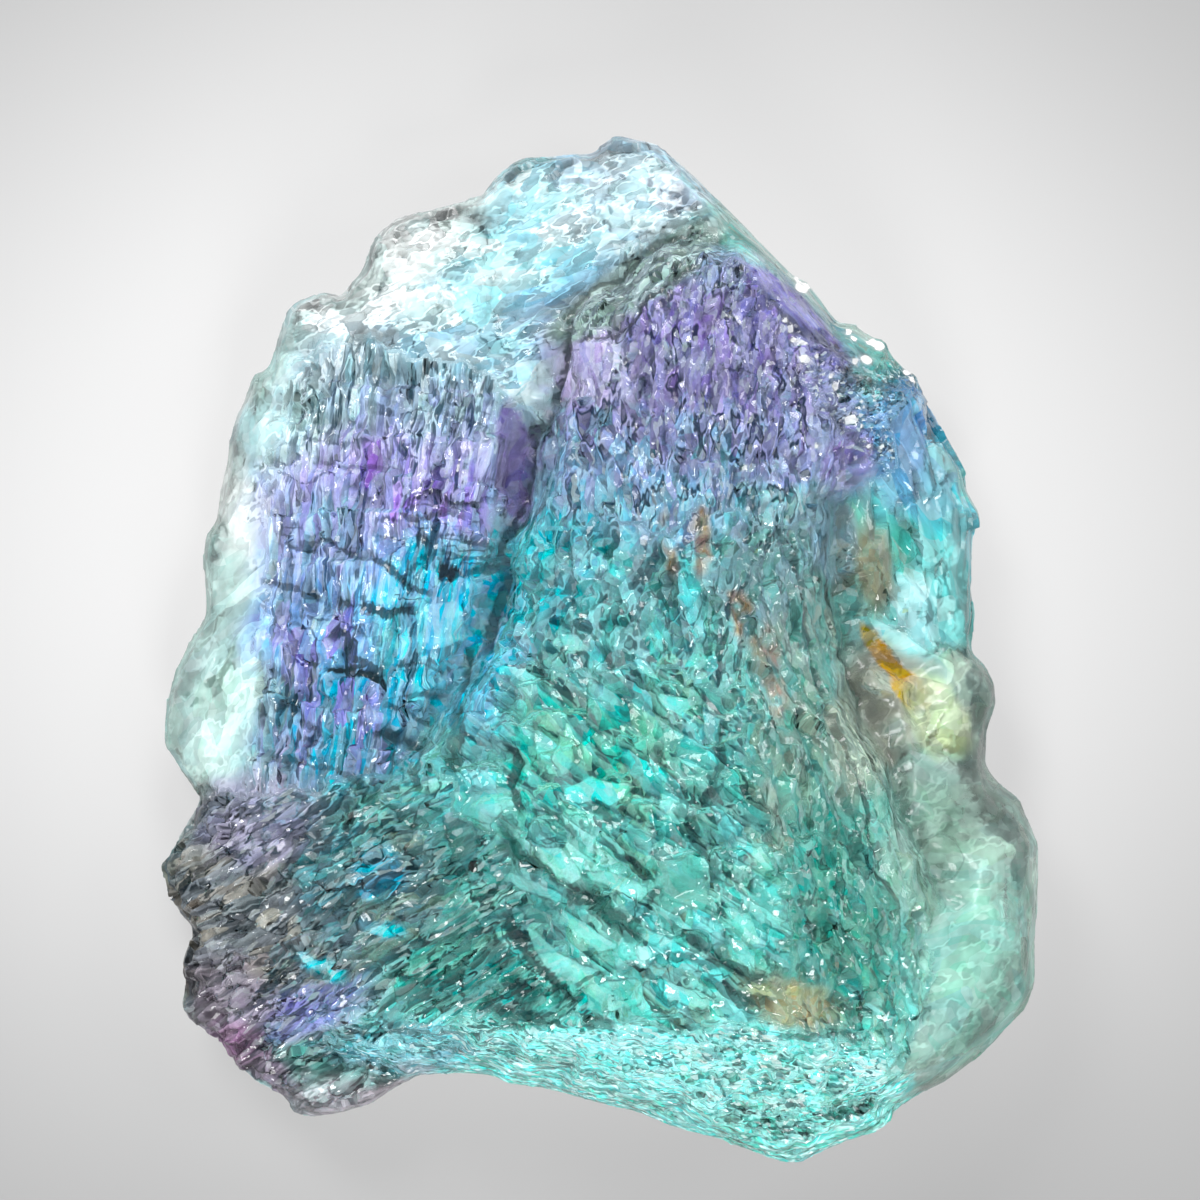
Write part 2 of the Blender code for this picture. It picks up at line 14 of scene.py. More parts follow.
import bmesh
import bpy
import numpy as np
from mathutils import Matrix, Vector


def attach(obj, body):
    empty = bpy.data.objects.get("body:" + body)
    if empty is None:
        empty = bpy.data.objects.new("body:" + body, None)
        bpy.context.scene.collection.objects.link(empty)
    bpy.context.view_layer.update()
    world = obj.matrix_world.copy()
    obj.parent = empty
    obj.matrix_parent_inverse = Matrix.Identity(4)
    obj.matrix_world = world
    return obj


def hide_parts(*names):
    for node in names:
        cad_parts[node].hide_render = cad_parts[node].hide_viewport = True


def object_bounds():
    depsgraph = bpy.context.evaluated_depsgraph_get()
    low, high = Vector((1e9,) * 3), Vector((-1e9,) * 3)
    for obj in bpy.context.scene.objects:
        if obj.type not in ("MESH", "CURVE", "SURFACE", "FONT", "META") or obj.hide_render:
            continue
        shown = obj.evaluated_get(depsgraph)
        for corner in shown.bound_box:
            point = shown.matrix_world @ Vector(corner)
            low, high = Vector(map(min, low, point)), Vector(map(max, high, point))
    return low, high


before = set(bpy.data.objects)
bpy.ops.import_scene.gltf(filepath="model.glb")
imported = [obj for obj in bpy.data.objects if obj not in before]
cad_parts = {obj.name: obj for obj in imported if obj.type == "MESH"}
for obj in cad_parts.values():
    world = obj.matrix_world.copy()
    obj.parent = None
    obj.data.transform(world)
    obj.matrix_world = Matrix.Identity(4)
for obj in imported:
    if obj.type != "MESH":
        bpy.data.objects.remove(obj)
cad_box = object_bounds()
MM = 0.001
print("solid's box in mm:", [[round(v / MM, 1) for v in corner] for corner in cad_box])

# %% [markdown]
# ## Reading places off a drawing sheet
# Places on the crystal are easiest to give on a plan, as on a drawing sheet 1200 units square with x
# to the right and y down. The specimen is 1028.5 units long on it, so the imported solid's length says
# what a unit measures.

# %% The drawing sheet
SHEET_SIDE = 1200.0
SHEET_LENGTH = 1028.5  # the specimen's length on the sheet
SHEET_MIDDLE = (599.3, 647.95)  # where the middle of the specimen's plan falls
UNIT = (cad_box[1][1] - cad_box[0][1]) / MM / SHEET_LENGTH  # one sheet unit in mm
print(f"one sheet unit is {UNIT:.4f} mm")


def sheet_to_mm(x, y):
    """A place on the sheet in mm from the middle of the specimen."""
    return (x - SHEET_MIDDLE[0]) * UNIT, (SHEET_MIDDLE[1] - y) * UNIT


# %% [markdown]
# ## Camera
# A long lens far away keeps the view nearly flat, so the rim falls where the sheet has it. The camera
# sees the whole sheet, so its middle is a little above the middle of the specimen.

# %% The camera looks straight down
CAMERA_HEIGHT = 0.8  # m above the table
RIM_HEIGHT = 4.0 * MM  # the height above the table at which the sheet's scale holds
SENSOR = 36.0  # mm
LIGHT_BOUNCES = 3  # enough for light to cross the stone


def add_object(name, data):
    """An object in the scene for a mesh, a lamp or a camera."""
    made = bpy.data.objects.new(name, data)
    bpy.context.scene.collection.objects.link(made)
    return made


camera_data = bpy.data.cameras.new("plan_camera")
camera_data.sensor_width = SENSOR
camera_data.lens = SENSOR * (CAMERA_HEIGHT - RIM_HEIGHT) / (SHEET_SIDE * UNIT * MM)
camera_data.clip_end = 10.0
camera = add_object("plan_camera", camera_data)
middle = sheet_to_mm(SHEET_SIDE / 2, SHEET_SIDE / 2)
camera.location = (middle[0] * MM, middle[1] * MM, CAMERA_HEIGHT)
bpy.context.scene.camera = camera
bpy.context.scene.view_settings.view_transform = "Standard"
light_paths = bpy.context.scene.cycles
light_paths.max_bounces = light_paths.transmission_bounces = LIGHT_BOUNCES
light_paths.diffuse_bounces, light_paths.glossy_bounces = 0, 1
light_paths.use_light_tree = False  # few lights, so each is simply tried
light_paths.caustics_reflective = light_paths.caustics_refractive = False
print(f"lens {camera_data.lens:.0f} mm")

# %% [markdown]
# ## Node helper and colours
# Every material is built from nodes. One small function adds a node, sets its values and makes its
# links, and one turns the usual sRGB hex colours into the linear numbers that Blender wants.


# %% Helpers for materials
def linear(hex_colour):
    """An sRGB hex colour as linear red, green and blue."""
    values = [int(hex_colour[i : i + 2], 16) / 255 for i in (1, 3, 5)]
    return [v / 12.92 if v <= 0.04045 else ((v + 0.055) / 1.055) ** 2.4 for v in values]


def add_node(tree, kind, settings, *values, **named):
    """Adds a node. The values go to its inputs in order, the named ones to the inputs of those names.
    A value is a number, an output, or a node, which stands for its first output in use."""
    node = tree.nodes.new(kind)
    for name, value in settings.items():
        setattr(node, name, value)
    inputs = list(zip([socket for socket in node.inputs if socket.enabled], values))
    inputs += [(node.inputs[name.replace("_", " ")], value) for name, value in named.items()]
    for socket, value in inputs:
        if isinstance(value, bpy.types.Node):
            value = next(made for made in value.outputs if made.enabled)
        if isinstance(value, bpy.types.NodeSocket):
            tree.links.new(value, socket)
        else:
            socket.default_value = value
    return node


def new_material(name):
    """An empty node material and its tree."""
    material = bpy.data.materials.new(name)
    material.use_nodes = True
    material.node_tree.nodes.clear()
    return material, material.node_tree


# Kinds of node and the sums that the materials use
MATH, VECTOR, RANGE, MIX = "ShaderNodeMath", "ShaderNodeVectorMath", "ShaderNodeMapRange", "ShaderNodeMix"
PRINCIPLED, OUTPUT, PLACE = "ShaderNodeBsdfPrincipled", "ShaderNodeOutputMaterial", "ShaderNodeTexCoord"
SUMS = ("MULTIPLY", "ADD", "SUBTRACT", "DIVIDE", "MAXIMUM", "ABSOLUTE", "FRACT", "MULTIPLY_ADD", "LENGTH")
TIMES, PLUS, LESS, OVER, MOST, SIZE, PART, TIMES_PLUS, LENGTH = ({"operation": name} for name in SUMS)
COLOURS = {"data_type": "RGBA"}
SMOOTH = {"interpolation_type": "SMOOTHSTEP"}
WHITE = (1.0, 1.0, 1.0, 1.0)


# %% [markdown]
# ## Table and light
# The specimen lies on a plain pale table in a studio. Clear stone shows its shape only by what it
# bends into view, so the light has parts: big soft boxes and darker gaps between them.

# %% The table
TABLE_SIDE = 3.0  # m
UNDER_STONE = 0.05 * MM  # the table is a hair lower than the stone's flat back, so they don't share a plane
SHEET_NEAR, SHEET_FAR = 10 * MM, 75 * MM  # the lit sheet dims outwards between these
SHEET_GLOW = (0.725, 0.19)  # its light near the middle and far out
GLOW_SQUEEZE = (0.90, 1.15, 0.0)  # the bright oval is wider than it is high
GLOW_SHIFT = (4.5 * MM, -9.0 * MM, 0.0)  # and lies to the upper left


def mesh_of(form, name):
    """A mesh made from a bmesh, which is then freed."""
    mesh = bpy.data.meshes.new(name)
    form.to_mesh(mesh)
    form.free()
    return mesh


table_form = bmesh.new()
bmesh.ops.create_grid(table_form, x_segments=1, y_segments=1, size=TABLE_SIDE / 2)
table = add_object("table", mesh_of(table_form, "table"))
table.location.z = -UNDER_STONE

paper, tree = new_material("backlit_white_acrylic")
spot = add_node(tree, PLACE, {}).outputs["Object"]
away = add_node(tree, VECTOR, LENGTH, add_node(tree, VECTOR, TIMES_PLUS, spot, GLOW_SQUEEZE, GLOW_SHIFT))
glow = add_node(tree, RANGE, SMOOTH, away, SHEET_NEAR, SHEET_FAR, *SHEET_GLOW)
card = add_node(
    tree,
    PRINCIPLED,
    {},
    Base_Color=(*linear("#7c7c7c"), 1),
    Roughness=0.9,
    Specular_IOR_Level=0.0,  # fully matt, which also ends a light path early
    Emission_Color=WHITE,
    Emission_Strength=glow,
)
add_node(tree, OUTPUT, {}, card)
table.data.materials.append(paper)
print(f"table {TABLE_SIDE:.0f} m wide, lit within {SHEET_FAR / MM:.0f} mm of the stone's middle")


# %% The lights
CENTRE = (0.0, 0.0, 0.01)  # m; the boxes are turned to this point
# place and side in metres, power in watts
SOFT_BOXES = {
    "key_box": ((-0.22, 0.34, 0.42), 0.22, 1.8),
    "fill_box": ((0.42, 0.06, 0.30), 0.20, 0.8),
    "back_box": ((0.10, 0.45, 0.10), 0.20, 1.0),
    "front_box": ((0.04, -0.42, 0.26), 0.18, 2.2),
}
for name, (lamp_place, side, power) in SOFT_BOXES.items():
    light = bpy.data.lights.new(name, "AREA")
    light.shape, light.size, light.energy = "SQUARE", side, power
    lamp = add_object(name, light)
    lamp.location = lamp_place
    lamp.rotation_euler = (Vector(lamp_place) - Vector(CENTRE)).to_track_quat("Z", "Y").to_euler()

# The tent is bright at its sides and dim overhead, so the upper faces keep their colour.
TENT_SIDES, TENT_TOP = 0.85, 0.18
TENT_LOW, TENT_HIGH = 0.35, 0.92  # how far up it starts and ends dimming, from 0 to 1
world = bpy.data.worlds.new("light_tent")
world.use_nodes = True
tree = world.node_tree
tree.nodes.clear()
upward = add_node(tree, "ShaderNodeSeparateXYZ", {}, add_node(tree, PLACE, {})).outputs["Z"]
dimming = add_node(tree, RANGE, SMOOTH, upward, TENT_LOW, TENT_HIGH, TENT_SIDES, TENT_TOP)
tent = add_node(tree, "ShaderNodeBackground", {}, (*linear("#f4f6f8"), 1), dimming)
add_node(tree, "ShaderNodeOutputWorld", {}, tent)
bpy.context.scene.world = world
print(f"{len(SOFT_BOXES)} soft boxes in a light tent")

# %% [markdown]
# ## The body
# The loaded solid is loose triangles, so its copy is merged first. A voxel remesh then lays an even
# net of small faces over it, which keeps every ridge and facet and gives the grain room. One pass of
# smoothing takes the steps of the voxels out.

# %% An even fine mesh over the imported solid
NET = 0.30 * MM  # the net's mesh width: fine enough for the grain, under the limit on triangles
NODE = "fluorite_crystal"

body_form = bmesh.new()
body_form.from_mesh(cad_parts[NODE].data)
bmesh.ops.remove_doubles(body_form, verts=body_form.verts, dist=0.001 * MM)
crystal = add_object("fluorite", mesh_of(body_form, "fluorite"))


def apply_modifiers(thing):
    """The thing's mesh with its modifiers worked in, which also becomes its own mesh."""
    evaluated = thing.evaluated_get(bpy.context.evaluated_depsgraph_get())
    thing.data = bpy.data.meshes.new_from_object(evaluated)
    thing.modifiers.clear()
    return thing.data


net = crystal.modifiers.new("net", "REMESH")
net.mode, net.voxel_size, net.adaptivity = "VOXEL", NET, 0.0
fine_mesh = apply_modifiers(crystal)
print(f"fine mesh: {len(fine_mesh.vertices)} points, {len(fine_mesh.polygons)} faces")

# %% Smooth the voxel steps
body_form = bmesh.new()
body_form.from_mesh(fine_mesh)
SMOOTHING = {"factor": 0.5, "use_axis_x": True, "use_axis_y": True, "use_axis_z": True}
# Some stretches are rounder: left, top, right and foot on the sheet, and the extra passes.
FACE_UP = 0.2  # a normal's Z above this belongs to the face
ROUNDER = {
    "right lobe": (925, 690, 1100, 1120, 16),
    "plate": (330, 130, 640, 330, 4),
    "left rim": (130, 330, 270, 800, 6),
}
bmesh.ops.smooth_vert(body_form, verts=body_form.verts, **SMOOTHING)
for name, (left, top, right, foot, passes) in ROUNDER.items():
    low, high = sheet_to_mm(left, foot), sheet_to_mm(right, top)
    chosen = [
        v
        for v in body_form.verts
        if low[0] < v.co.x / MM < high[0] and low[1] < v.co.y / MM < high[1] and v.normal.z > FACE_UP
    ]
    for _ in range(passes):
        bmesh.ops.smooth_vert(body_form, verts=chosen, **SMOOTHING)
    print(f"{name}: {len(chosen)} points made rounder")
body_form.to_mesh(fine_mesh)
body_form.free()

# %% [markdown]
# The back lies out of sight and is nearly flat, so its net is thinned; the face keeps all its points.

# %% Thin the net on the back
KEPT_SHARE = 0.70  # of the net's triangles
BACKWARD = -0.25  # a normal's Z below this belongs to the back

thinned = crystal.vertex_groups.new(name="back")
thinned.add([v.index for v in fine_mesh.vertices if v.normal.z < BACKWARD], 1.0, "REPLACE")
thin = crystal.modifiers.new("thin", "DECIMATE")
thin.ratio, thin.vertex_group = KEPT_SHARE, thinned.name
fine_mesh = apply_modifiers(crystal)
crystal.vertex_groups.clear()
print(f"thinned mesh: {len(fine_mesh.vertices)} points, {len(fine_mesh.loop_triangles)} triangles")


# %% Points and normals as arrays
def rows_of(items, field):
    """Three numbers a row, read from a mesh's points or normals."""
    flat = np.empty(len(items) * 3)
    items.foreach_get(field, flat)
    return flat.reshape(-1, 3)


place = rows_of(fine_mesh.vertices, "co") / MM
normal = rows_of(fine_mesh.vertex_normals, "vector")
sheet_x = SHEET_MIDDLE[0] + place[:, 0] / UNIT
sheet_y = SHEET_MIDDLE[1] - place[:, 1] / UNIT
print("points in mm from", place.min(0).round(1), "to", place.max(0).round(1))

# %% [markdown]
# ## A lit pad under the stone
# A clear stone laid on a card looks dull, so a lit pad cut a little smaller than its outline lies
# under it, hidden by it from above. Its light comes up through the thick middle and gives the deep
# colours. From low at the side, the table that the pad lights shows under the stone's raised rim.

# %% The pad
PAD_GLOW = 1.6
PAD_INSET = 0.5  # mm in from the outline
PAD_SIDES = 180
PAD_LEVEL = -0.02 * MM  # between the stone and the table
pad_reach = np.hypot(place[:, 0], place[:, 1])
pad_turn = np.arctan2(place[:, 1], place[:, 0]) * PAD_SIDES / (2 * math.pi)
edge_reach = [pad_reach[np.floor(pad_turn) % PAD_SIDES == side].max() for side in range(PAD_SIDES)]
pad_form = bmesh.new()
corners = []
for side in range(PAD_SIDES):
    reach = (min(edge_reach[side], edge_reach[side - 1]) - PAD_INSET) * MM
    turn = side * 2 * math.pi / PAD_SIDES
    corners.append(pad_form.verts.new((reach * math.cos(turn), reach * math.sin(turn), PAD_LEVEL)))
pad_form.faces.new(corners)
pad = add_object("light_pad", mesh_of(pad_form, "light_pad"))
pad.visible_camera = False  # the pad itself is seen through the stone alone

lit_film, tree = new_material("lit_white_film")
film = add_node(
    tree,
    PRINCIPLED,
    {},
    Base_Color=(0.0, 0.0, 0.0, 1),
    Roughness=0.9,
    Specular_IOR_Level=0.0,
    Emission_Color=WHITE,
    Emission_Strength=PAD_GLOW,
)
add_node(tree, OUTPUT, {}, film)
lit_film.cycles.emission_sampling = "NONE"
pad.data.materials.append(lit_film)
print(f"pad reaches {min(edge_reach):.1f} to {max(edge_reach):.1f} mm from the middle")

# %% [markdown]
# ## Noise and grain
# Three patterns make all of the surface. Soft noise wanders smoothly. Grains are cells with a flat
# tilt each, as broken crystal has. Courses are grains in rows, as in a wall. Each can be stretched
# and turned, and each gives the same result every run.


# %% Even numbers for whole-number cells
def hashed(cells, salt):
    """Three even numbers from 0 to 1 for each row of whole numbers."""
    mixed = cells.astype(np.int64).astype(np.uint32) * np.array([73856093, 19349663, 83492791], np.uint32)
    state = mixed[:, 0] ^ mixed[:, 1] ^ mixed[:, 2] ^ np.uint32((salt * 2654435761) & 0xFFFFFFFF)
    drawn = []
    for _ in range(3):
        state = (state ^ (state >> np.uint32(16))) * np.uint32(0x45D9F3B)
        state = (state ^ (state >> np.uint32(15))) * np.uint32(0x2C1B3C6D)
        state = state ^ (state >> np.uint32(16))
        drawn.append(state / 2.0**32)
    return np.stack(drawn, 1)


def turned(points, size, turn):
    """Points on axes turned about Z by an angle in degrees, in cells of a size in mm."""
    c, s = math.cos(math.radians(turn)), math.sin(math.radians(turn))
    x, y, z = points.T
    return np.stack(((x * c + y * s) / size[0], (y * c - x * s) / size[1], z / size[2]), 1)


# %% Soft noise
def soft_noise(points, size, salt, turn=0.0):
    """Smooth noise from -1 to 1, with swells as wide as size in mm."""
    spot = turned(points, size, turn)
    home = np.floor(spot)
    part = spot - home
    part = part * part * (3 - 2 * part)
    total = np.zeros(len(points))
    for corner in np.ndindex(2, 2, 2):
        share = np.prod(np.where(np.array(corner), part, 1 - part), axis=1)
        total += share * hashed(home + corner, salt)[:, 0]
    return 2 * total - 1


# %% Grains
def grains(points, size, salt, turn=0.0):
    """For each point: its cell's flat tilt in mm of rise, the cell's own numbers, and how near the
    joint is, from 0 in the joint to about 1 at the cell's middle."""
    spot = turned(points, size, turn)
    home = np.floor(spot)
    nearest = np.full(len(points), 9.0)
    second = nearest.copy()
    away = np.zeros_like(spot)
    owner = np.zeros_like(spot)
    for step in np.ndindex(3, 3, 3):
        cell = home + step - 1
        seed = cell + 0.1 + 0.8 * hashed(cell, salt)
        offset = spot - seed
        far = (offset**2).sum(1)
        closer = far < nearest
        second = np.where(closer, nearest, np.minimum(second, far))
        nearest = np.where(closer, far, nearest)
        away[closer] = offset[closer]
        owner[closer] = cell[closer]
    own = hashed(owner, salt + 1)
    rise = ((2 * own - 1) * away * np.array(size)).sum(1)
    return rise, own, np.sqrt(second) - np.sqrt(nearest)


# %% Courses
def courses(points, size, salt, turn, wander=0.3):
    """Rows of blocks along the turned X: each block's flat tilt, its own numbers, and how far a point
    is from the block's edge, from 0 to 0.5. The last value runs from 0 to 1 across a row."""
    spot = turned(points, (size[0], size[1], 1.0), turn)
    spot[:, 1] += wander * soft_noise(points, (size[0] * 1.6, size[0] * 1.6, 4.0), salt + 5)
    row = np.floor(spot[:, 1])
    ones = np.zeros_like(row)
    shift = hashed(np.stack((row, ones, ones), 1), salt)[:, 0]
    spot[:, 0] += 0.5 * (row % 2) + 0.35 * shift + wander * soft_noise(points, (2.5, 2.5, 4.0), salt + 6)
    column = np.floor(spot[:, 0])
    own = hashed(np.stack((column, row, ones), 1), salt + 1)
    u = spot[:, 0] - column - 0.5
    v = spot[:, 1] - row - 0.5
    rise = (2 * own[:, 0] - 1) * u * size[0] + (2 * own[:, 1] - 1) * v * size[1]
    edge = np.minimum(0.5 - np.abs(u), 0.5 - np.abs(v))
    return rise, own, edge, v + 0.5


# %% [markdown]
# ## Where each kind of break lies
# The specimen breaks differently from place to place. Each region is a border on the sheet, and its
# influence fades over a short way, so the grains run into each other.

# %% Regions on the sheet
REGIONS = {
    "left_wing": [(285, 385), (330, 345), (430, 352), (502, 380), (497, 455), (499, 505), (484, 548)]
    + [(468, 628), (430, 716), (384, 783), (255, 790), (262, 700), (266, 600), (262, 500)],
    "upper_mound": [(574, 342), (628, 331), (668, 284), (738, 266), (803, 345), (835, 432)]
    + [(812, 520), (540, 530), (560, 436)],
    "hollow": [(500, 404), (524, 412), (534, 436), (529, 480), (522, 514), (504, 502), (496, 455)],
    "wall": [(566, 318), (600, 288), (640, 258), (668, 238), (702, 232), (738, 262), (668, 288)]
    + [(628, 331), (574, 342)],
    "middle_mound": [(540, 530), (812, 520), (750, 560), (740, 680), (480, 660), (510, 590)],
    "right_flank": [(750, 560), (812, 520), (825, 680), (842, 722), (880, 812), (914, 920)]
    + [(925, 1000), (900, 1056), (858, 1034), (800, 1026), (782, 900), (760, 790), (740, 680)],
    "lower_mound": [(480, 660), (740, 680), (760, 790), (782, 900), (800, 1026), (600, 1018)]
    + [(524, 878), (432, 765)],
    "right_lobe": [(838, 650), (990, 650), (1060, 780), (1060, 1040), (905, 1110), (900, 1056)]
    + [(925, 1000), (914, 920), (876, 760)],
    "right_wing": [(880, 400), (935, 395), (990, 520), (990, 650), (860, 625), (852, 500), (884, 460)],
    "drusy_face": [(330, 1034), (420, 1016), (600, 1018), (700, 1012), (800, 1014), (858, 1034)]
    + [(900, 1056), (905, 1110), (800, 1190), (400, 1110)],
    "lower_left": [(130, 800), (200, 795), (255, 790), (384, 783), (432, 765), (524, 878)]
    + [(600, 1018), (500, 1012), (330, 1034), (400, 1080), (300, 1140), (130, 1050)],
    "left_rim": [(130, 330), (330, 345), (285, 400), (255, 800), (130, 800)],
    "right_ridge": [(760, 312), (800, 345), (838, 368), (866, 372), (920, 372), (930, 392), (884, 402)]
    + [(888, 458), (860, 466), (832, 432), (800, 392), (762, 345)],
    "ridge_rim": [(690, 170), (800, 250), (880, 310), (940, 372), (905, 372), (850, 346), (800, 300)]
    + [(735, 244)],
    "wedge": [(742, 252), (800, 304), (848, 350), (862, 366), (838, 364), (800, 340), (764, 306), (738, 280)],
    "low_lobe": [(282, 1080), (330, 1064), (425, 1070), (405, 1112), (360, 1140), (300, 1130)],
    "smear": [(752, 985), (790, 960), (836, 956), (832, 975), (802, 990), (785, 1022), (748, 1024)],
}
FADE = 12.0  # sheet units over which a region gives way
print(f"{len(REGIONS)} regions on the sheet")


# %% Distances on the sheet
def from_segment(start, end, x, y):
    """How far each point lies from a straight line on the sheet, and how far along it, from 0 to 1."""
    (ax, ay), (bx, by) = start, end
    along = ((x - ax) * (bx - ax) + (y - ay) * (by - ay)) / ((bx - ax) ** 2 + (by - ay) ** 2)
    along = np.clip(along, 0, 1)
    return np.hypot(x - ax - along * (bx - ax), y - ay - along * (by - ay)), along


def into_border(border, x, y):
    """How far each point lies inside a border on the sheet, in sheet units; less than 0 is outside."""
    inside = np.zeros(len(x), bool)
    nearest = np.full(len(x), 1e9)
    for (ax, ay), (bx, by) in zip(border, border[1:] + border[:1]):
        crosses = (ay > y) != (by > y)
        if ay != by:
            inside ^= crosses & (x < ax + (bx - ax) * (y - ay) / (by - ay))
        nearest = np.minimum(nearest, from_segment((ax, ay), (bx, by), x, y)[0])
    return np.where(inside, nearest, -nearest)


def ragged(amount, salt):
    """The points' places on the sheet, pulled about by noise, so that a border drawn on them is ragged."""
    pull = [soft_noise(place, (2.2, 2.2, 2.2), salt + i) for i in (0, 1)]
    pull = [a + 0.5 * soft_noise(place, (0.9, 0.9, 0.9), salt + 2 + i) for i, a in enumerate(pull)]
    return sheet_x + amount * pull[0], sheet_y + amount * pull[1]


# %% Each point's share of every region
ragged_x, ragged_y = ragged(14, 171)


def polygon_share(border):
    """How much each point belongs to a border on the sheet: 1 inside, falling to 0 outside it."""
    return np.clip(0.5 + into_border(border, ragged_x, ragged_y) / (2 * FADE), 0, 1)


front = np.clip(normal[:, 2] * 3 + 0.6, 0, 1)  # 1 on the face, 0 on the back
shares = {name: polygon_share(border) * front for name, border in REGIONS.items()}
claimed = sum(shares.values())
shares["plate"] = np.clip(1 - claimed, 0, 1) * front
shares["back"] = 1 - front
for name, share in shares.items():
    print(f"{name}: {int((share > 0.5).sum())} points")

# %% [markdown]
# ## Breaking the surface
# Each region gets its own relief in mm: flakes on the plate, striations cut by ledges on the left
# wing, wax-like drips high on the mound, scales and then bricks below, ripples of small crystals on
# the steep bottom face. All of it is worked out at the points' first places, then moved in one go.


# %% The relief of each region
# Grains: length, width and depth in mm, salt, turn, mm of rise for a grain's tilt; then, for coarse
# ones, mm of rise for its own height, and the depth and the width of the joint round it.
GRAINS = {
    "plate": [((2.6, 1.4, 1.6), 11, 12, 0.16, 0, 0.06, 0.12), ((1.1, 0.7, 0.9), 12, 0, 0.07, 0, 0.04, 0.15)],
    "left_wing": [((5.0, 0.85, 2.0), 22, 85, 0.30, 0, 0.12, 0.15), ((1.3, 0.6, 0.8), 23, 85, 0.1)],
    "upper_mound": [((3.4, 0.75, 1.5), 31, 88, 0.34, 0, 0.12, 0.16), ((1.4, 0.55, 0.8), 32, 80, 0.1)],
    "middle_mound": [((1.7, 1.15, 1.3), 41, 80, 0.42, 0.12, 0.14, 0.12), ((0.9, 0.6, 0.7), 42, 100, 0.1)],
    "lower_mound": [((1.2, 0.9, 1.0), 52, -32, 0.1, 0, 0.05, 0.12)],
    "right_flank": [((4.6, 1.0, 1.6), 61, 110, 0.34, 0, 0.1, 0.15), ((1.6, 0.6, 0.9), 62, 112, 0.1)],
    "right_lobe": [((1.8, 1.2, 1.4), 72, 30, 0.05, 0, 0.02, 0.1)],
    "right_wing": [((6.0, 1.3, 2.0), 81, 100, 0.25, 0, 0.06, 0.2)],
    "drusy_face": [((1.0, 0.5, 0.55), 91, -5, 0.35, 0, 0.08, 0.15)],
    "lower_left": [((3.4, 0.95, 1.3), 101, 24, 0.40, 0, 0.14, 0.14), ((1.2, 0.6, 0.7), 102, 30, 0.1)],
    "left_rim": [((2.0, 1.3, 1.4), 112, 75, 0.06, 0, 0.02, 0.12)],
    "right_ridge": [((0.9, 0.8, 0.8), 121, 45, 0.4, 0, 0.08, 0.15)],
    "wall": [((2.6, 0.6, 1.0), 141, 62, 0.4, 0, 0.1, 0.15)],
    "back": [((2.8, 2.0, 1.2), 131, 60, 0.2, 0, 0.07, 0.12), ((1.1, 0.9, 0.8), 132, 20, 0.1)],
}
# Smooth swells: length, width and depth in mm, salt, turn, height in mm
SWELLS = {
    "right_lobe": ((2.6, 2.2, 2.4), 71, 60, 0.10),
    "right_wing": ((5.0, 1.0, 2.0), 82, 98, 0.12),
    "drusy_face": ((2.4, 0.7, 0.6), 92, -5, 0.16),
    "left_rim": ((1.9, 1.5, 1.5), 111, 70, 0.07),
    "right_ridge": ((1.4, 1.4, 1.4), 122, 0, 0.12),
    "hollow": ((1.5, 3.0, 2.0), 145, 0, 0.08),
}
for calm in ("ridge_rim", "wedge", "smear", "low_lobe"):
    SWELLS[calm] = ((2.0, 0.8, 1.0), 147, -45, 0.06)


def wing_ledges(p):
    """Ledges that step down across the left wing's striations."""
    _, own, _, across = courses(p, (5.0, 3.2, 1), 21, -8, 0.45)
    return 0.5 * (across - 0.5) * (0.5 + own[:, 2])


def mound_bricks(p):
    """Slabs in rows low on the mound, each at its own height, with a gap round it."""
    brick, own, edge, _ = courses(p, (3.0, 1.65, 1), 51, -32, 0.35)
    return 0.36 * brick + 0.3 * own[:, 2] - 0.2 * np.exp(-((edge / 0.05) ** 2))


ROWS = {"left_wing": wing_ledges, "lower_mound": mound_bricks}


def relief_of(name, p):
    """A region's rise in mm at each point."""
    total = ROWS[name](p) if name in ROWS else np.zeros(len(p))
    for size, salt, turn, tilted, *coarse in GRAINS.get(name, []):
        raised, depth, width = coarse or (0, 0, 1)
        rise, own, joint = grains(p, size, salt, turn)
        total += tilted * rise + raised * own[:, 2] - depth * np.exp(-((joint / width) ** 2))
    if name in SWELLS:
        size, salt, turn, height = SWELLS[name]
        total += height * soft_noise(p, size, salt, turn)
    return total


print(f"{len(GRAINS)} regions have grains, {len(SWELLS)} have swells and {len(ROWS)} have rows")
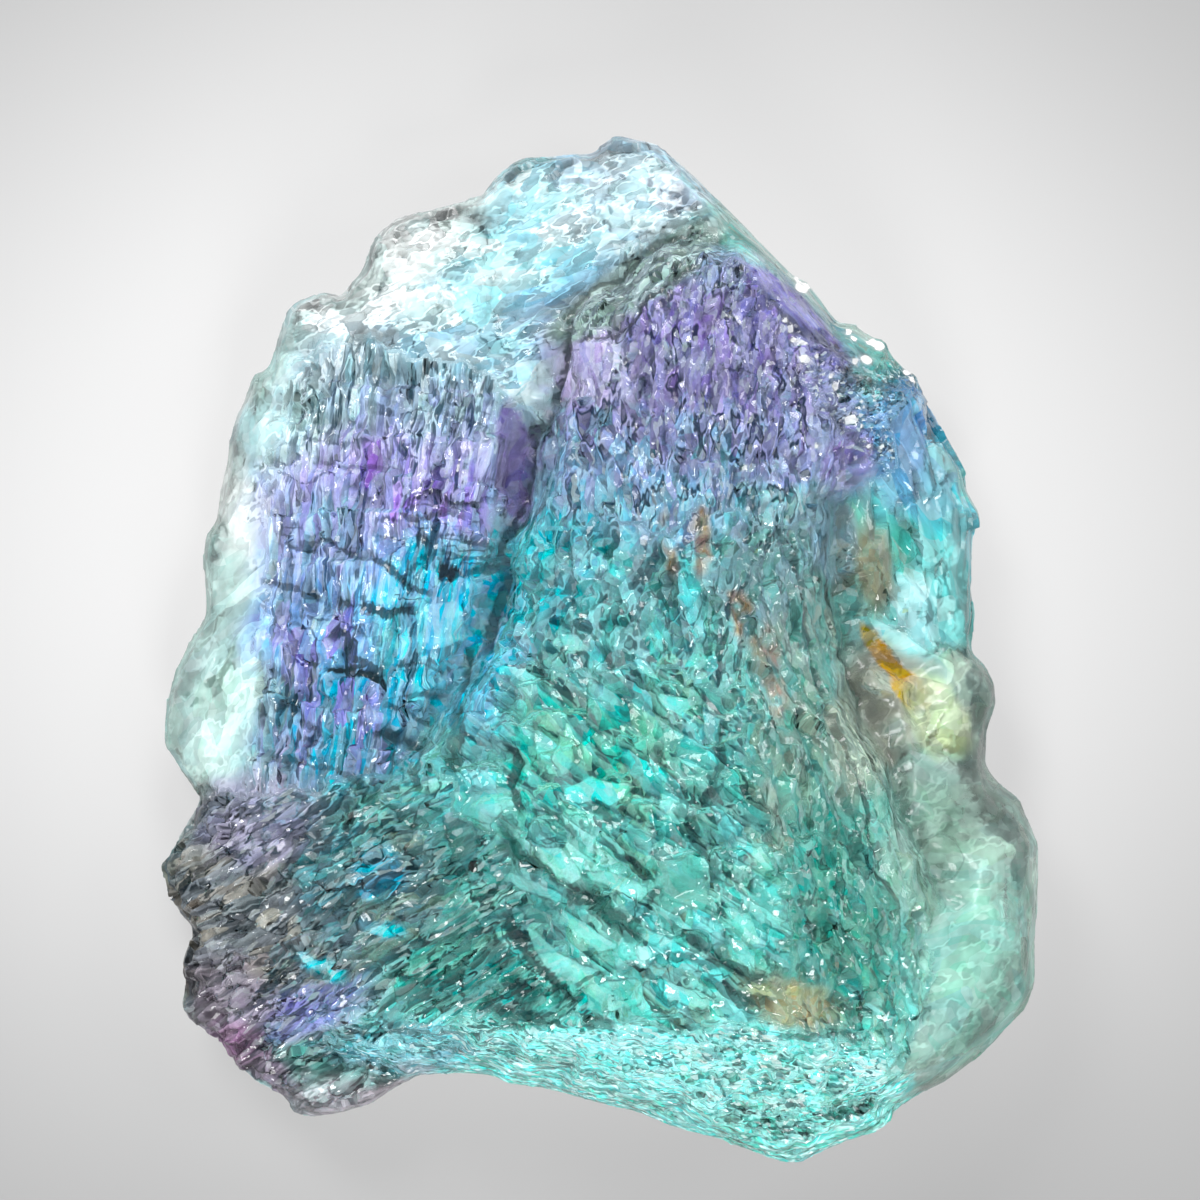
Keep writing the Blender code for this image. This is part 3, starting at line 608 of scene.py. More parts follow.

# %% [markdown]
# ## Cracks
# The cleavage has opened along a few lines. Each is a groove on the sheet with a half width and a depth
# in mm, deepest along its middle and running out at its ends. Each is also painted dark, as painted shade
# in the groove; the broad shallow ones, such as the row shades and pockets, are mostly painted shade.

# %% Cracks on the sheet
# half width, depth, darkness of the painted shade, points
CRACKS = {
    "crevice top": (0.22, 0.5, 1.0, [(569, 318), (566, 345), (562, 385), (552, 412)]),
    "cave mouth": (0.26, 0.3, 1.0, [(531, 444), (536, 430), (546, 427), (553, 436)]),
    "crevice": (0.20, 0.5, 1.0, [(553, 412), (536, 440), (531, 478), (522, 512), (503, 545), (504, 560)]
        + [(512, 575)]),
    "crevice middle": (0.28, 0.6, 1.0, [(513, 572), (505, 592), (497, 615), (488, 640), (487, 654)]),
    "crevice low": (0.28, 0.5, 1.0, [(472, 645), (467, 668), (462, 692)]),
    "crevice foot": (0.46, 0.4, 0.95, [(458, 704), (459, 728), (457, 750), (450, 772)]),
    "side crack": (0.26, 0.3, 0.95, [(406, 738), (421, 746), (414, 772), (420, 792)]),
    "side step": (0.26, 0.3, 0.9, [(376, 736), (398, 736), (406, 744)]),
    "side step low": (0.22, 0.2, 0.8, [(384, 756), (402, 762)]),
    "high step": (0.14, 0.2, 0.6, [(318, 462), (345, 470), (372, 466), (392, 474)]),
    "violet step": (0.20, 0.2, 0.7, [(424, 500), (446, 506), (470, 512)]),
    "violet nick": (0.29, 0.2, 0.8, [(416, 532), (431, 546)]),
    "ledge one": (0.17, 0.2, 0.8, [(300, 544), (328, 540), (352, 554), (372, 556)]),
    "ledge two": (0.26, 0.25, 0.9, [(368, 552), (385, 562), (398, 576), (418, 589), (434, 592)]),
    "ledge three": (0.49, 0.3, 1.0, [(441, 567), (458, 576)]),
    "ledge three tail": (0.23, 0.25, 0.9, [(456, 575), (482, 572), (510, 567)]),
    "ledge thread": (0.14, 0.15, 0.8, [(440, 548), (456, 555), (472, 560), (508, 562)]),
    "ledge four": (0.39, 0.3, 0.95, [(338, 600), (357, 608)]),
    "ledge four tail": (0.29, 0.3, 0.95, [(360, 604), (388, 613), (420, 609)]),
    "ledge outer": (0.20, 0.2, 0.8, [(262, 582), (296, 588), (322, 598)]),
    "loop": (0.26, 0.25, 0.95, [(331, 640), (337, 630), (349, 633), (354, 645), (346, 662)]),
    "ledge five": (0.26, 0.35, 1.0, [(326, 668), (346, 667), (370, 673), (391, 684)]),
    "ledge five top": (0.20, 0.2, 0.9, [(352, 656), (368, 662), (384, 670)]),
    "ledge five nick": (0.20, 0.2, 0.9, [(306, 659), (317, 667)]),
    "ledge six": (0.26, 0.2, 0.9, [(399, 659), (413, 665)]),
    "ledge six tail": (0.14, 0.2, 0.7, [(414, 664), (434, 668), (450, 675)]),
    "ledge seven": (0.17, 0.2, 0.8, [(388, 704), (408, 712), (432, 724)]),
    "ledge eight": (0.34, 0.2, 0.7, [(300, 718), (318, 728), (334, 738)]),
    "outer step": (0.26, 0.2, 0.6, [(260, 714), (284, 700), (322, 697)]),
    "ledge nine": (0.20, 0.25, 0.95, [(412, 500), (436, 496), (452, 502), (486, 506)]),
    "ledge ten": (0.22, 0.2, 0.85, [(398, 512), (420, 520), (452, 514), (470, 520)]),
    "ledge eleven": (0.16, 0.2, 0.8, [(436, 536), (462, 540), (494, 552)]),
    "ledge twelve": (0.18, 0.2, 0.85, [(280, 534), (296, 548), (318, 552)]),
    "ledge thirteen": (0.30, 0.2, 0.8, [(276, 706), (290, 702), (306, 712)]),
    "ledge fourteen": (0.16, 0.2, 0.8, [(404, 690), (426, 696), (446, 700)]),
    "wing hem": (0.23, 0.2, 0.7, [(262, 748), (300, 760), (338, 770), (372, 784)]),
    "shoulder nick": (0.18, 0.2, 0.8, [(541, 588), (556, 596)]),
    "shoulder seam": (0.16, 0.2, 0.7, [(508, 640), (526, 648), (538, 662), (552, 690)]),
    "mound seam": (0.14, 0.25, 0.7, [(572, 594), (580, 620), (597, 640), (608, 657), (620, 682)]),
    "mound plug": (0.34, 0.1, 0.6, [(620, 684), (628, 702), (625, 724)]),
    "lens edge": (0.26, 0.1, 0.6, [(560, 700), (571, 716), (584, 740), (574, 764)]),
    "stub": (0.34, 0.3, 0.95, [(508, 738), (519, 758), (516, 786), (524, 812)]),
    "fork left": (0.26, 0.2, 0.75, [(657, 738), (661, 760), (676, 786), (690, 806)]),
    "fork right": (0.26, 0.2, 0.75, [(719, 722), (716, 760), (711, 784), (691, 806)]),
    "fork stem": (0.36, 0.2, 0.85, [(672, 798), (688, 816), (692, 832), (706, 852), (713, 876)]),
    "fork thorn": (0.30, 0.1, 0.5, [(716, 832), (726, 856), (737, 884)]),
    "row shade one": (0.34, 0.2, 0.8, [(540, 800), (558, 814), (577, 830)]),
    "vee left": (0.28, 0.15, 0.8, [(592, 798), (604, 808), (613, 820)]),
    "vee right": (0.28, 0.15, 0.7, [(612, 818), (628, 798), (636, 784)]),
    "row shade two": (0.24, 0.2, 0.85, [(604, 834), (616, 846), (634, 856), (651, 873)]),
    "row shade three": (0.58, 0.2, 0.8, [(500, 838), (528, 848), (550, 868), (562, 884)]),
    "row shade four": (0.58, 0.2, 0.8, [(560, 884), (588, 890), (612, 910), (642, 932)]),
    "kite edge": (0.26, 0.15, 0.8, [(657, 878), (646, 900), (634, 916)]),
    "row shade five": (0.38, 0.2, 0.8, [(664, 940), (700, 952), (730, 956), (764, 968)]),
    "row shade six": (0.30, 0.2, 0.8, [(696, 966), (730, 984), (772, 995)]),
    "slab joint": (0.30, 0.15, 0.8, [(632, 948), (646, 962), (658, 974)]),
    "slab line": (0.12, 0.1, 0.8, [(576, 978), (590, 968), (604, 960)]),
    "row shade seven": (0.38, 0.2, 0.9, [(503, 905), (515, 930), (530, 950), (546, 966), (560, 986)]
        + [(580, 1000)]),
    "dark pocket": (0.60, 0.1, 0.7, [(488, 926), (496, 948), (510, 962)]),
    "dark pocket low": (0.70, 0.1, 0.7, [(512, 966), (528, 984), (540, 992)]),
    "foot pocket": (0.62, 0.2, 0.95, [(582, 1014), (600, 1018), (616, 1018)]),
    "foot pocket left": (0.55, 0.15, 0.8, [(480, 998), (516, 1010), (548, 1013)]),
    "foot pocket right": (0.42, 0.15, 0.85, [(658, 998), (672, 1014), (682, 1024)]),
    "foot nick": (0.30, 0.15, 0.8, [(684, 998), (708, 1006)]),
    "flank line": (0.16, 0.3, 0.90, [(786, 530), (792, 560), (800, 588), (801, 624), (809, 657), (820, 692)]
        + [(836, 730), (852, 762), (860, 800), (866, 860), (893, 900)]),
    "lobe seam": (0.18, 0.25, 0.75, [(826, 640), (846, 664), (856, 700), (860, 740), (884, 790), (900, 850)]),
    "lens edge right": (0.14, 0.1, 0.6, [(806, 470), (812, 500), (808, 540), (818, 580)]),
    "hem of the druse": (0.18, 0.2, 0.8, [(338, 1034), (400, 1028), (460, 1030), (520, 1022), (560, 1016)]),
    "hem right": (0.20, 0.2, 0.8, [(770, 1026), (800, 1030), (830, 1024), (860, 1036)]),
    "smear shade": (0.60, 0.1, 0.6, [(826, 990), (850, 1002), (866, 1016)]),
    "foot of the druse": (0.16, 0.15, 0.8, [(390, 1062), (450, 1068), (520, 1074), (560, 1084)]),
    "wall foot": (0.20, 0.2, 1.0, [(572, 346), (600, 338), (632, 326), (652, 298), (672, 282), (706, 262)]),
    "wall top": (0.16, 0.2, 0.9, [(567, 318), (590, 292), (620, 280), (640, 258), (668, 240), (700, 234)]),
    "wall fold": (0.20, 0.1, 0.7, [(600, 316), (628, 292), (654, 266), (690, 252)]),
    "wall spot": (0.34, 0.1, 0.8, [(664, 284), (686, 286)]),
    "belt one": (0.34, 0.1, 0.8, [(760, 300), (796, 330), (826, 344), (850, 356)]),
    "belt two": (0.40, 0.1, 0.8, [(838, 372), (862, 382), (892, 388), (920, 400)]),
    "belt three": (0.34, 0.1, 0.75, [(820, 404), (842, 432), (862, 446), (880, 452)]),
    "ring mark": (0.07, 0.05, 0.5, [(935, 831), (952, 838), (959, 855), (951, 873), (935, 880), (917, 872)]
        + [(911, 855), (918, 838), (935, 831)]),
}
print(f"{len(CRACKS)} cracks and seams")


# %% Distance from a crack
def from_line(points):
    """For each point of the crystal: which side of a line on the sheet and how far in mm, and how far
    along the line it is, from 0 to 1."""
    steps = [math.hypot(bx - ax, by - ay) for (ax, ay), (bx, by) in zip(points, points[1:])]
    nearest = np.full(len(place), 1e9)
    side = np.zeros(len(place))
    run = np.zeros(len(place))
    gone = 0.0
    for (ax, ay), (bx, by), step in zip(points, points[1:], steps):
        far, along = from_segment((ax, ay), (bx, by), crooked_x, crooked_y)
        across = (crooked_x - ax) * (by - ay) - (crooked_y - ay) * (bx - ax)
        closer = far < nearest
        nearest = np.where(closer, far, nearest)
        side = np.where(closer, np.where(across < 0, -far, far), side)
        run = np.where(closer, (gone + along * step) / sum(steps), run)
        gone += step
    return side * UNIT, run


# %% The nearest crack of each point, the groove that it cuts and its painted shade
crooked_x = sheet_x + 3 * soft_noise(place, (1.2, 1.2, 1.2), 161)
crooked_y = sheet_y + 3 * soft_noise(place, (1.2, 1.2, 1.2), 162)
crack_offset = np.full(len(place), 9.0)
crack_half = np.full(len(place), 0.1)
crack_painted_shade = np.zeros(len(place))
groove = np.zeros(len(place))
for name, (half, depth, painted_darkness, points) in CRACKS.items():
    offset, run = from_line(points)
    taper = np.clip(np.minimum(run, 1 - run) * 12, 0, 1) ** 0.5
    nearby = (np.abs(offset) < 4 * half) & (front > 0.5)
    nearby &= np.abs(offset) / half < np.abs(crack_offset) / crack_half
    crack_offset[nearby] = offset[nearby]
    crack_half[nearby] = half
    crack_painted_shade[nearby] = painted_darkness * taper[nearby]
    cut = depth * taper * np.clip(1 - np.abs(offset) / (1.6 * half), 0, 1) * front
    groove = np.maximum(groove, cut)
print(f"cracks touch {int((groove > 0.02).sum())} points")

# %% [markdown]
# A few cleavage faces are larger than the grain. Each is a flat kite or a slanted slab on the sheet
# with its own painted light: above 0 it is painted lit through, below 0 it is painted dull. They stay
# smoother than the rest.

# %% Single large faces
# painted light, corners
FACES = {
    "kite": (-0.30, [(658, 850), (684, 852), (706, 878), (702, 900), (668, 892), (655, 875)]),
    "slab one": (1.0, [(538, 838), (560, 842), (578, 860), (584, 872), (570, 878), (555, 866), (538, 850)]),
    "slab two": (1.0, [(586, 864), (622, 866), (650, 880), (643, 894), (622, 884), (590, 874)]),
    "slab three": (1.0, [(508, 866), (535, 874), (562, 886), (561, 896), (530, 886), (510, 876)]),
    "slab four": (0.9, [(562, 898), (585, 912), (618, 938), (600, 946), (584, 930), (560, 912)]),
    "slab five": (0.8, [(522, 916), (548, 934), (582, 956), (602, 962), (576, 984), (556, 966), (536, 944)]),
    "slab six": (0.9, [(490, 916), (506, 924), (532, 950), (545, 968), (530, 960), (506, 938)]),
    "slab seven": (0.7, [(590, 974), (640, 968), (642, 988), (610, 1002), (584, 998)]),
    "slab eight": (1.0, [(738, 972), (762, 977), (774, 988), (754, 987)]),
    "slab nine": (0.7, [(660, 968), (700, 984), (726, 998), (690, 998), (660, 984)]),
    "slab ten": (0.9, [(640, 955), (664, 958), (656, 968), (645, 966)]),
    "slab eleven": (0.8, [(634, 918), (664, 924), (656, 932), (640, 930)]),
    "high slab": (0.8, [(564, 783), (590, 770), (636, 782), (612, 802), (598, 794), (580, 800), (568, 796)]),
    "lens": (0.5, [(560, 732), (576, 742), (574, 760), (562, 772), (550, 756)]),
    "dull side": (-0.3, [(600, 905), (640, 890), (634, 914), (612, 918)]),
    "sail one": (1.0, [(560, 630), (580, 635), (596, 652), (566, 649)]),
    "sail two": (1.0, [(630, 653), (646, 658), (662, 681), (640, 673)]),
    "sail three": (1.0, [(654, 688), (694, 698), (682, 716), (664, 704)]),
    "sail four": (0.8, [(484, 722), (500, 714), (508, 716), (490, 728)]),
    "sail five": (0.6, [(700, 706), (722, 716), (716, 744), (702, 730)]),
    "spark": (1.0, [(428, 776), (440, 772), (444, 782), (432, 790)]),
    "gem": (1.0, [(488, 866), (503, 870), (498, 881), (485, 877)]),
    "gem rim": (0.8, [(474, 852), (500, 828), (504, 834), (482, 858)]),
    "fan": (0.7, [(470, 790), (512, 784), (518, 800), (492, 822), (464, 812)]),
    "dark wedge": (-1.0, [(446, 810), (480, 826), (477, 858), (470, 868), (452, 846)]),
    "shade": (-0.7, [(515, 900), (545, 896), (552, 918), (534, 916)]),
    "pale drip": (0.2, [(572, 346), (600, 342), (604, 372), (580, 384), (570, 372)]),
    "cave roof": (1.0, [(514, 366), (540, 362), (556, 380), (552, 412), (544, 424), (528, 412), (520, 388)]),
    "roof lamp": (0.7, [(540, 346), (564, 340), (566, 362), (556, 378), (544, 366)]),
    "sliver one": (1.0, [(298, 950), (312, 952), (345, 968), (340, 975), (318, 966)]),
    "sliver two": (1.0, [(364, 927), (384, 920), (402, 930), (388, 935)]),
    "sliver three": (1.0, [(384, 846), (399, 843), (403, 852), (388, 855)]),
    "sliver four": (1.0, [(360, 890), (374, 885), (378, 896), (364, 899)]),
    "wing tile one": (0.7, [(444, 506), (470, 510), (472, 524), (448, 526)]),
    "wing tile two": (0.6, [(482, 500), (498, 506), (506, 530), (490, 532)]),
    "wing bar": (0.8, [(294, 528), (301, 528), (299, 566), (292, 566)]),
    "wing bar two": (0.8, [(306, 526), (320, 516), (316, 534), (308, 536)]),
    "wing tile three": (0.5, [(380, 566), (398, 580), (400, 604), (378, 604)]),
    "wing tile four": (0.5, [(424, 604), (460, 600), (470, 640), (430, 650)]),
    "dark lens face": (-0.25, [(812, 492), (842, 500), (848, 560), (826, 580), (814, 548)]),
    "wing cheek": (-0.3, [(940, 440), (958, 470), (968, 540), (962, 600), (948, 560), (944, 490)]),
    "mint wedge": (1.0, [(864, 614), (900, 632), (952, 664), (946, 684), (912, 676), (884, 646)]),
}
print(f"{len(FACES)} large faces")

# %% The large face that each point lies on
face_x, face_y = ragged(3, 181)
face_painted_light = np.zeros(len(place))
face_depth = np.full(len(place), -9.0)
for light, corners in FACES.values():
    depth = into_border(corners, face_x, face_y) * UNIT
    nearer = (depth > face_depth) & (depth > -0.8) & (front > 0.5)
    face_depth[nearer], face_painted_light[nearer] = depth[nearer], light
print(f"large faces cover {int((face_depth > 0).sum())} points")

# %% [markdown]
# The relief of the regions is mixed by their shares, the grooves are cut from it, and each point moves
# along its normal. The rim and the large faces move less, and the flat cleavage face stays flat.

# %% Move the points along their normals
RELIEF_MOST = 0.7  # mm; no point moves further
RIM_CALM = 0.3  # the rim's outline is smooth next to the face: this much of the relief stays there
FACE_CALM = 0.3  # the large faces keep this much of it
REST_BAND = 0.06  # mm; the flat cleavage face lies below this and stays flat
PAINTED_LIGHT_FROM = (-0.45, 0.85, 0.30)  # the side from which light is painted onto the small faces

relief = np.zeros(len(place))
weight = np.zeros(len(place))
for name, share in shares.items():
    touched = share > 0.01
    if touched.any():
        relief[touched] += share[touched] * relief_of(name, place[touched])
        weight += share
relief = relief / np.maximum(weight, 0.01) * np.where(face_depth > 0, FACE_CALM, 1.0)
relief = np.clip(relief - groove, -RELIEF_MOST, RELIEF_MOST)
relief *= np.clip((normal[:, 2] + 0.1) / 0.6, RIM_CALM, 1)
relief[place[:, 2] < REST_BAND] = 0
shaped = place + normal * relief[:, None]
shaped[:, 2] = np.maximum(shaped[:, 2], 0)
fine_mesh.vertices.foreach_set("co", (shaped * MM).ravel())
fine_mesh.update()
# How far a break has turned its point to the painted light, or away from it
toward_light = (rows_of(fine_mesh.vertex_normals, "vector") - normal) @ np.array(PAINTED_LIGHT_FROM)
print(f"relief from {relief.min():.2f} to {relief.max():.2f} mm")

# %% [markdown]
# ## The habit of each region
# The finest breaks are flat glints smaller than the net, so the material draws them: cells with one
# tilt and one painted brightness each and a dark joint between. Each region gives the cells' length, width
# and depth in mm, their turn, how far each row is shifted, and how strong tilt, painted brightness and joints
# are.

# %% Habits
# length, width, depth in mm, turn, row shift, wander, then tilt, contrast of the painted light and shade,
# joint, roughness, and randomness, painted emboss shade, flecks, painted glints
HABITS = {
    "plate": ((2.4, 1.5, 1.5), 25, 0.2, 1.2, (0.30, 0.50, 0.12, 0.10), (1.00, 0.5, 0.7, 0.2)),
    "left_wing": ((3.2, 0.56, 1.0), 84, 0.3, 0.3, (0.45, 1.00, 0.50, 0.10), (0.70, 0.4, 0.9, 0.1)),
    "hollow": ((3.0, 1.5, 1.5), 80, 0.2, 0.3, (0.10, 0.05, 0.00, 0.10), (1.00, 0.2, 0.0, 0.0)),
    "ridge_rim": ((3.0, 0.8, 1.5), -42, 0.2, 0.3, (0.20, 0.30, 0.10, 0.08), (1.00, 0.3, 0.4, 0.6)),
    "wedge": ((3.5, 0.7, 1.5), -45, 0.2, 0.3, (0.15, 0.25, 0.10, 0.10), (1.00, 0.2, 0.4, 0.1)),
    "smear": ((3.0, 1.4, 1.5), 20, 0.2, 0.3, (0.15, 0.20, 0.10, 0.14), (1.00, 0.2, 0.3, 0.0)),
    "low_lobe": ((2.6, 1.0, 1.5), 24, 0.2, 0.6, (0.20, 0.30, 0.15, 0.14), (1.00, 0.4, 0.6, 0.1)),
    "upper_mound": ((1.5, 0.60, 1.0), 88, 0.1, 0.8, (0.50, 0.70, 0.60, 0.12), (1.00, 0.4, 0.8, 0.3)),
    "wall": ((1.5, 0.45, 0.8), 62, 0.2, 0.4, (0.55, 0.95, 0.95, 0.15), (1.00, 0.4, 0.5, 0.1)),
    "middle_mound": ((2.0, 1.15, 1.0), 84, 0.1, 1.0, (0.55, 0.90, 0.85, 0.08), (0.90, 0.7, 0.6, 0.1)),
    "lower_mound": ((2.5, 1.30, 1.6), -34, 0.35, 0.3, (0.50, 1.00, 0.90, 0.08), (0.52, 0.9, 0.5, 0.1)),
    "right_flank": ((1.8, 0.7, 1.0), 108, 0.2, 0.8, (0.35, 0.50, 0.35, 0.12), (1.00, 0.5, 0.6, 0.2)),
    "right_lobe": ((2.2, 1.5, 1.6), 30, 0.2, 1.0, (0.14, 0.10, 0.05, 0.18), (1.00, 0.3, 0.3, 0.1)),
    "right_wing": ((4.0, 1.8, 2.0), 118, 0.3, 1.4, (0.25, 0.25, 0.15, 0.08), (1.00, 0.4, 0.5, 0.1)),
    "drusy_face": ((1.2, 0.45, 0.45), -5, 0.3, 0.6, (0.60, 1.00, 1.00, 0.10), (0.62, 1.0, 0.6, 1.0)),
    "lower_left": ((2.6, 0.60, 0.8), 34, 0.2, 1.0, (0.55, 0.85, 0.90, 0.12), (1.00, 0.6, 0.6, 0.3)),
    "left_rim": ((2.2, 1.3, 1.6), 70, 0.3, 1.4, (0.20, 0.35, 0.15, 0.10), (1.00, 0.5, 0.5, 0.1)),
    "right_ridge": ((0.6, 0.5, 0.5), 45, 0.2, 0.4, (0.70, 1.00, 0.50, 0.06), (1.00, 0.5, 0.6, 1.0)),
    "back": ((2.8, 2.2, 1.4), 60, 0.3, 0.6, (0.20, 0.15, 0.15, 0.12), (1.00, 0.3, 0.2, 0.0)),
}
print(f"{len(HABITS)} habits")

# %% Threads of each region
# pale threads of painted highlight, dark threads of painted shade, how milky the stone is with its painted
# glow, and the threads' length and width against 1 mm
THREADS = {
    "plate": (1.0, 0.5, 0.30, 2.6, 1.2),
    "left_wing": (0.8, 0.75, 0.0, 4.8, 0.9),
    "hollow": (0.0, 0.0, 0.0, 2.0, 1.0),
    "ridge_rim": (0.6, 0.2, 0.95, 2.5, 1.0),
    "wedge": (0.2, 0.2, 0.0, 2.5, 1.0),
    "smear": (0.1, 0.2, 0.2, 1.5, 1.0),
    "low_lobe": (0.6, 0.3, 0.40, 2.4, 1.0),
    "upper_mound": (1.0, 1.0, 0.0, 3.0, 1.2),
    "wall": (0.7, 1.0, 0.2, 2.5, 1.0),
    "middle_mound": (0.6, 0.8, 0.0, 2.4, 1.4),
    "lower_mound": (0.5, 0.6, 0.0, 2.0, 1.4),
    "right_flank": (0.4, 0.7, 0.0, 2.4, 1.1),
    "right_lobe": (0.5, 0.2, 0.55, 2.6, 1.7),
    "right_wing": (0.3, 0.2, 0.35, 3.5, 1.4),
    "drusy_face": (0.9, 1.0, 0.05, 2.0, 0.9),
    "lower_left": (0.9, 1.0, 0.0, 3.2, 1.1),
    "left_rim": (0.5, 0.1, 0.50, 2.2, 1.4),
    "right_ridge": (0.7, 0.9, 0.0, 1.1, 0.8),
    "back": (0.0, 0.0, 0.0, 1.0, 1.0),
}
print(f"threads in {sum(pale + dark > 0 for pale, dark, *_ in THREADS.values())} regions")

# %% Lay the cells and threads on the surface
WALL = 0.42  # where a normal's Z is less than this the cells are drawn on the wall, not on the plan
WAYS = {0: (0, 1), 1: (1, 2), 2: (0, 2)}  # drawn on the plan, on walls that face X, on walls that face Y
wall_way = np.where(np.abs(normal[:, 0]) > np.abs(normal[:, 1]), 1, 2)
facing_way = np.where(np.abs(normal[:, 2]) > WALL, 0, wall_way)

names = list(shares)
strongest = np.argmax(np.stack([shares[name] for name in names]), axis=0)
habit = np.zeros((len(place), 4))
manner = np.zeros((len(place), 4))
grain_place = np.zeros_like(place)
thread_place = np.zeros_like(place)
threads = np.zeros((len(place), 4))
for index, name in enumerate(names):
    size, turn, shift, wander, strengths, manners = HABITS[name]
    habit += shares[name][:, None] * np.array(strengths)
    manner += shares[name][:, None] * np.array(manners)
    threads[:, :3] += shares[name][:, None] * np.array(THREADS[name][:3])
    for way, (across, up) in WAYS.items():
        mine = (strongest == index) & (facing_way == way)
        flat = np.column_stack((place[mine][:, across], place[mine][:, up], place[mine][:, up]))
        spot = turned(flat, size, turn if way == 0 else 0)
        for axis in (0, 1):
            spot[:, axis] += 0.20 * soft_noise(place[mine], (2.5, 2.5, 2.5), 151 + axis)
            spot[:, axis] += wander * soft_noise(place[mine], (7.0, 7.0, 7.0), 155 + axis)
        spot[:, 0] += shift * spot[:, 1]
        grain_place[mine] = spot + 40.0 * index
        thread_place[mine] = turned(flat, (*THREADS[name][3:], 1.0), turn if way == 0 else 0) + 9.0 * index
for mixed in (habit, manner, threads):
    mixed /= np.maximum(sum(shares.values()), 0.01)[:, None]
print("mean habit:", habit.mean(0).round(2))

# %% [markdown]
# Where the cleavage steps down across the grain there is shade under the small steps, too many to
# name, painted as short dark lines. They follow the zero line of a noise, ragged and broken off here and
# there.

# %% Painted shade under the steps
# length and width of the noise's swells in mm, turn, half width in mm, darkness of the painted shade
STEP_SHADES = {
    "left_wing": (2.2, 1.1, -14, 0.09, 1.0),
    "plate": (3.0, 1.6, 30, 0.03, 0.5),
    "upper_mound": (2.6, 0.9, 84, 0.04, 0.9),
    "middle_mound": (2.2, 1.1, 62, 0.05, 0.9),
    "lower_mound": (3.0, 1.7, -38, 0.06, 0.9),
    "right_flank": (3.4, 1.2, 108, 0.04, 0.6),
    "lower_left": (2.6, 1.0, 40, 0.08, 1.0),
    "right_ridge": (1.6, 0.8, -45, 0.08, 0.9),
}
vein = np.zeros_like(place)
vein[:, 0], vein[:, 1] = 1.0, 0.05
for index, (name, (length, width, turn, half, painted_darkness)) in enumerate(STEP_SHADES.items()):
    mine = strongest == names.index(name)
    field = soft_noise(place[mine], (length, width, 2.0), 401 + 3 * index, turn)
    field += 0.4 * soft_noise(place[mine], (length * 0.35, width * 0.4, 1.0), 402 + 3 * index, turn)
    broken_off = np.clip(0.5 + 1.8 * soft_noise(place[mine], (1.6, 1.6, 1.6), 403 + 3 * index), 0, 1)
    vein[mine] = np.column_stack(
        (field * width / 1.5, np.full(len(field), half), painted_darkness * broken_off * shares[name][mine])
    )
print(f"painted_step_shades darken {int((vein[:, 2] * (np.abs(vein[:, 0]) < 0.1) > 0.3).sum())} points")

# %% Hand the patterns to the material
def keep_attribute(name, values):
    """Stores three or four numbers a point on the mesh, for the material to read."""
    kind, field = ("FLOAT_VECTOR", "vector") if values.shape[1] == 3 else ("FLOAT_COLOR", "color")
    fine_mesh.attributes.new(name, kind, "POINT").data.foreach_set(field, values.ravel())


patch = 0.5 + 0.22 * soft_noise(place, (1.5, 1.5, 1.5), 501) + 0.12 * soft_noise(place, (0.7, 0.7, 0.7), 502)
patterns = {
    "vein": vein,
    "thread_place": thread_place,
    "grain_place": grain_place,
    "face": np.column_stack((face_depth, face_painted_light, patch)),
    "habit": habit,
    "manner": manner,
    "crack": np.column_stack((crack_offset, crack_half, crack_painted_shade)),
}
for name, values in patterns.items():
    keep_attribute(name, values)
print("patterns on the mesh:", ", ".join(patterns))

# %% [markdown]
# ## Colour zones
# Fluorite takes its colours as it grows, so they lie in bands and clouds. Each zone here is a soft
# ellipse on the sheet, laid over those before it, with its edge pulled about by noise.

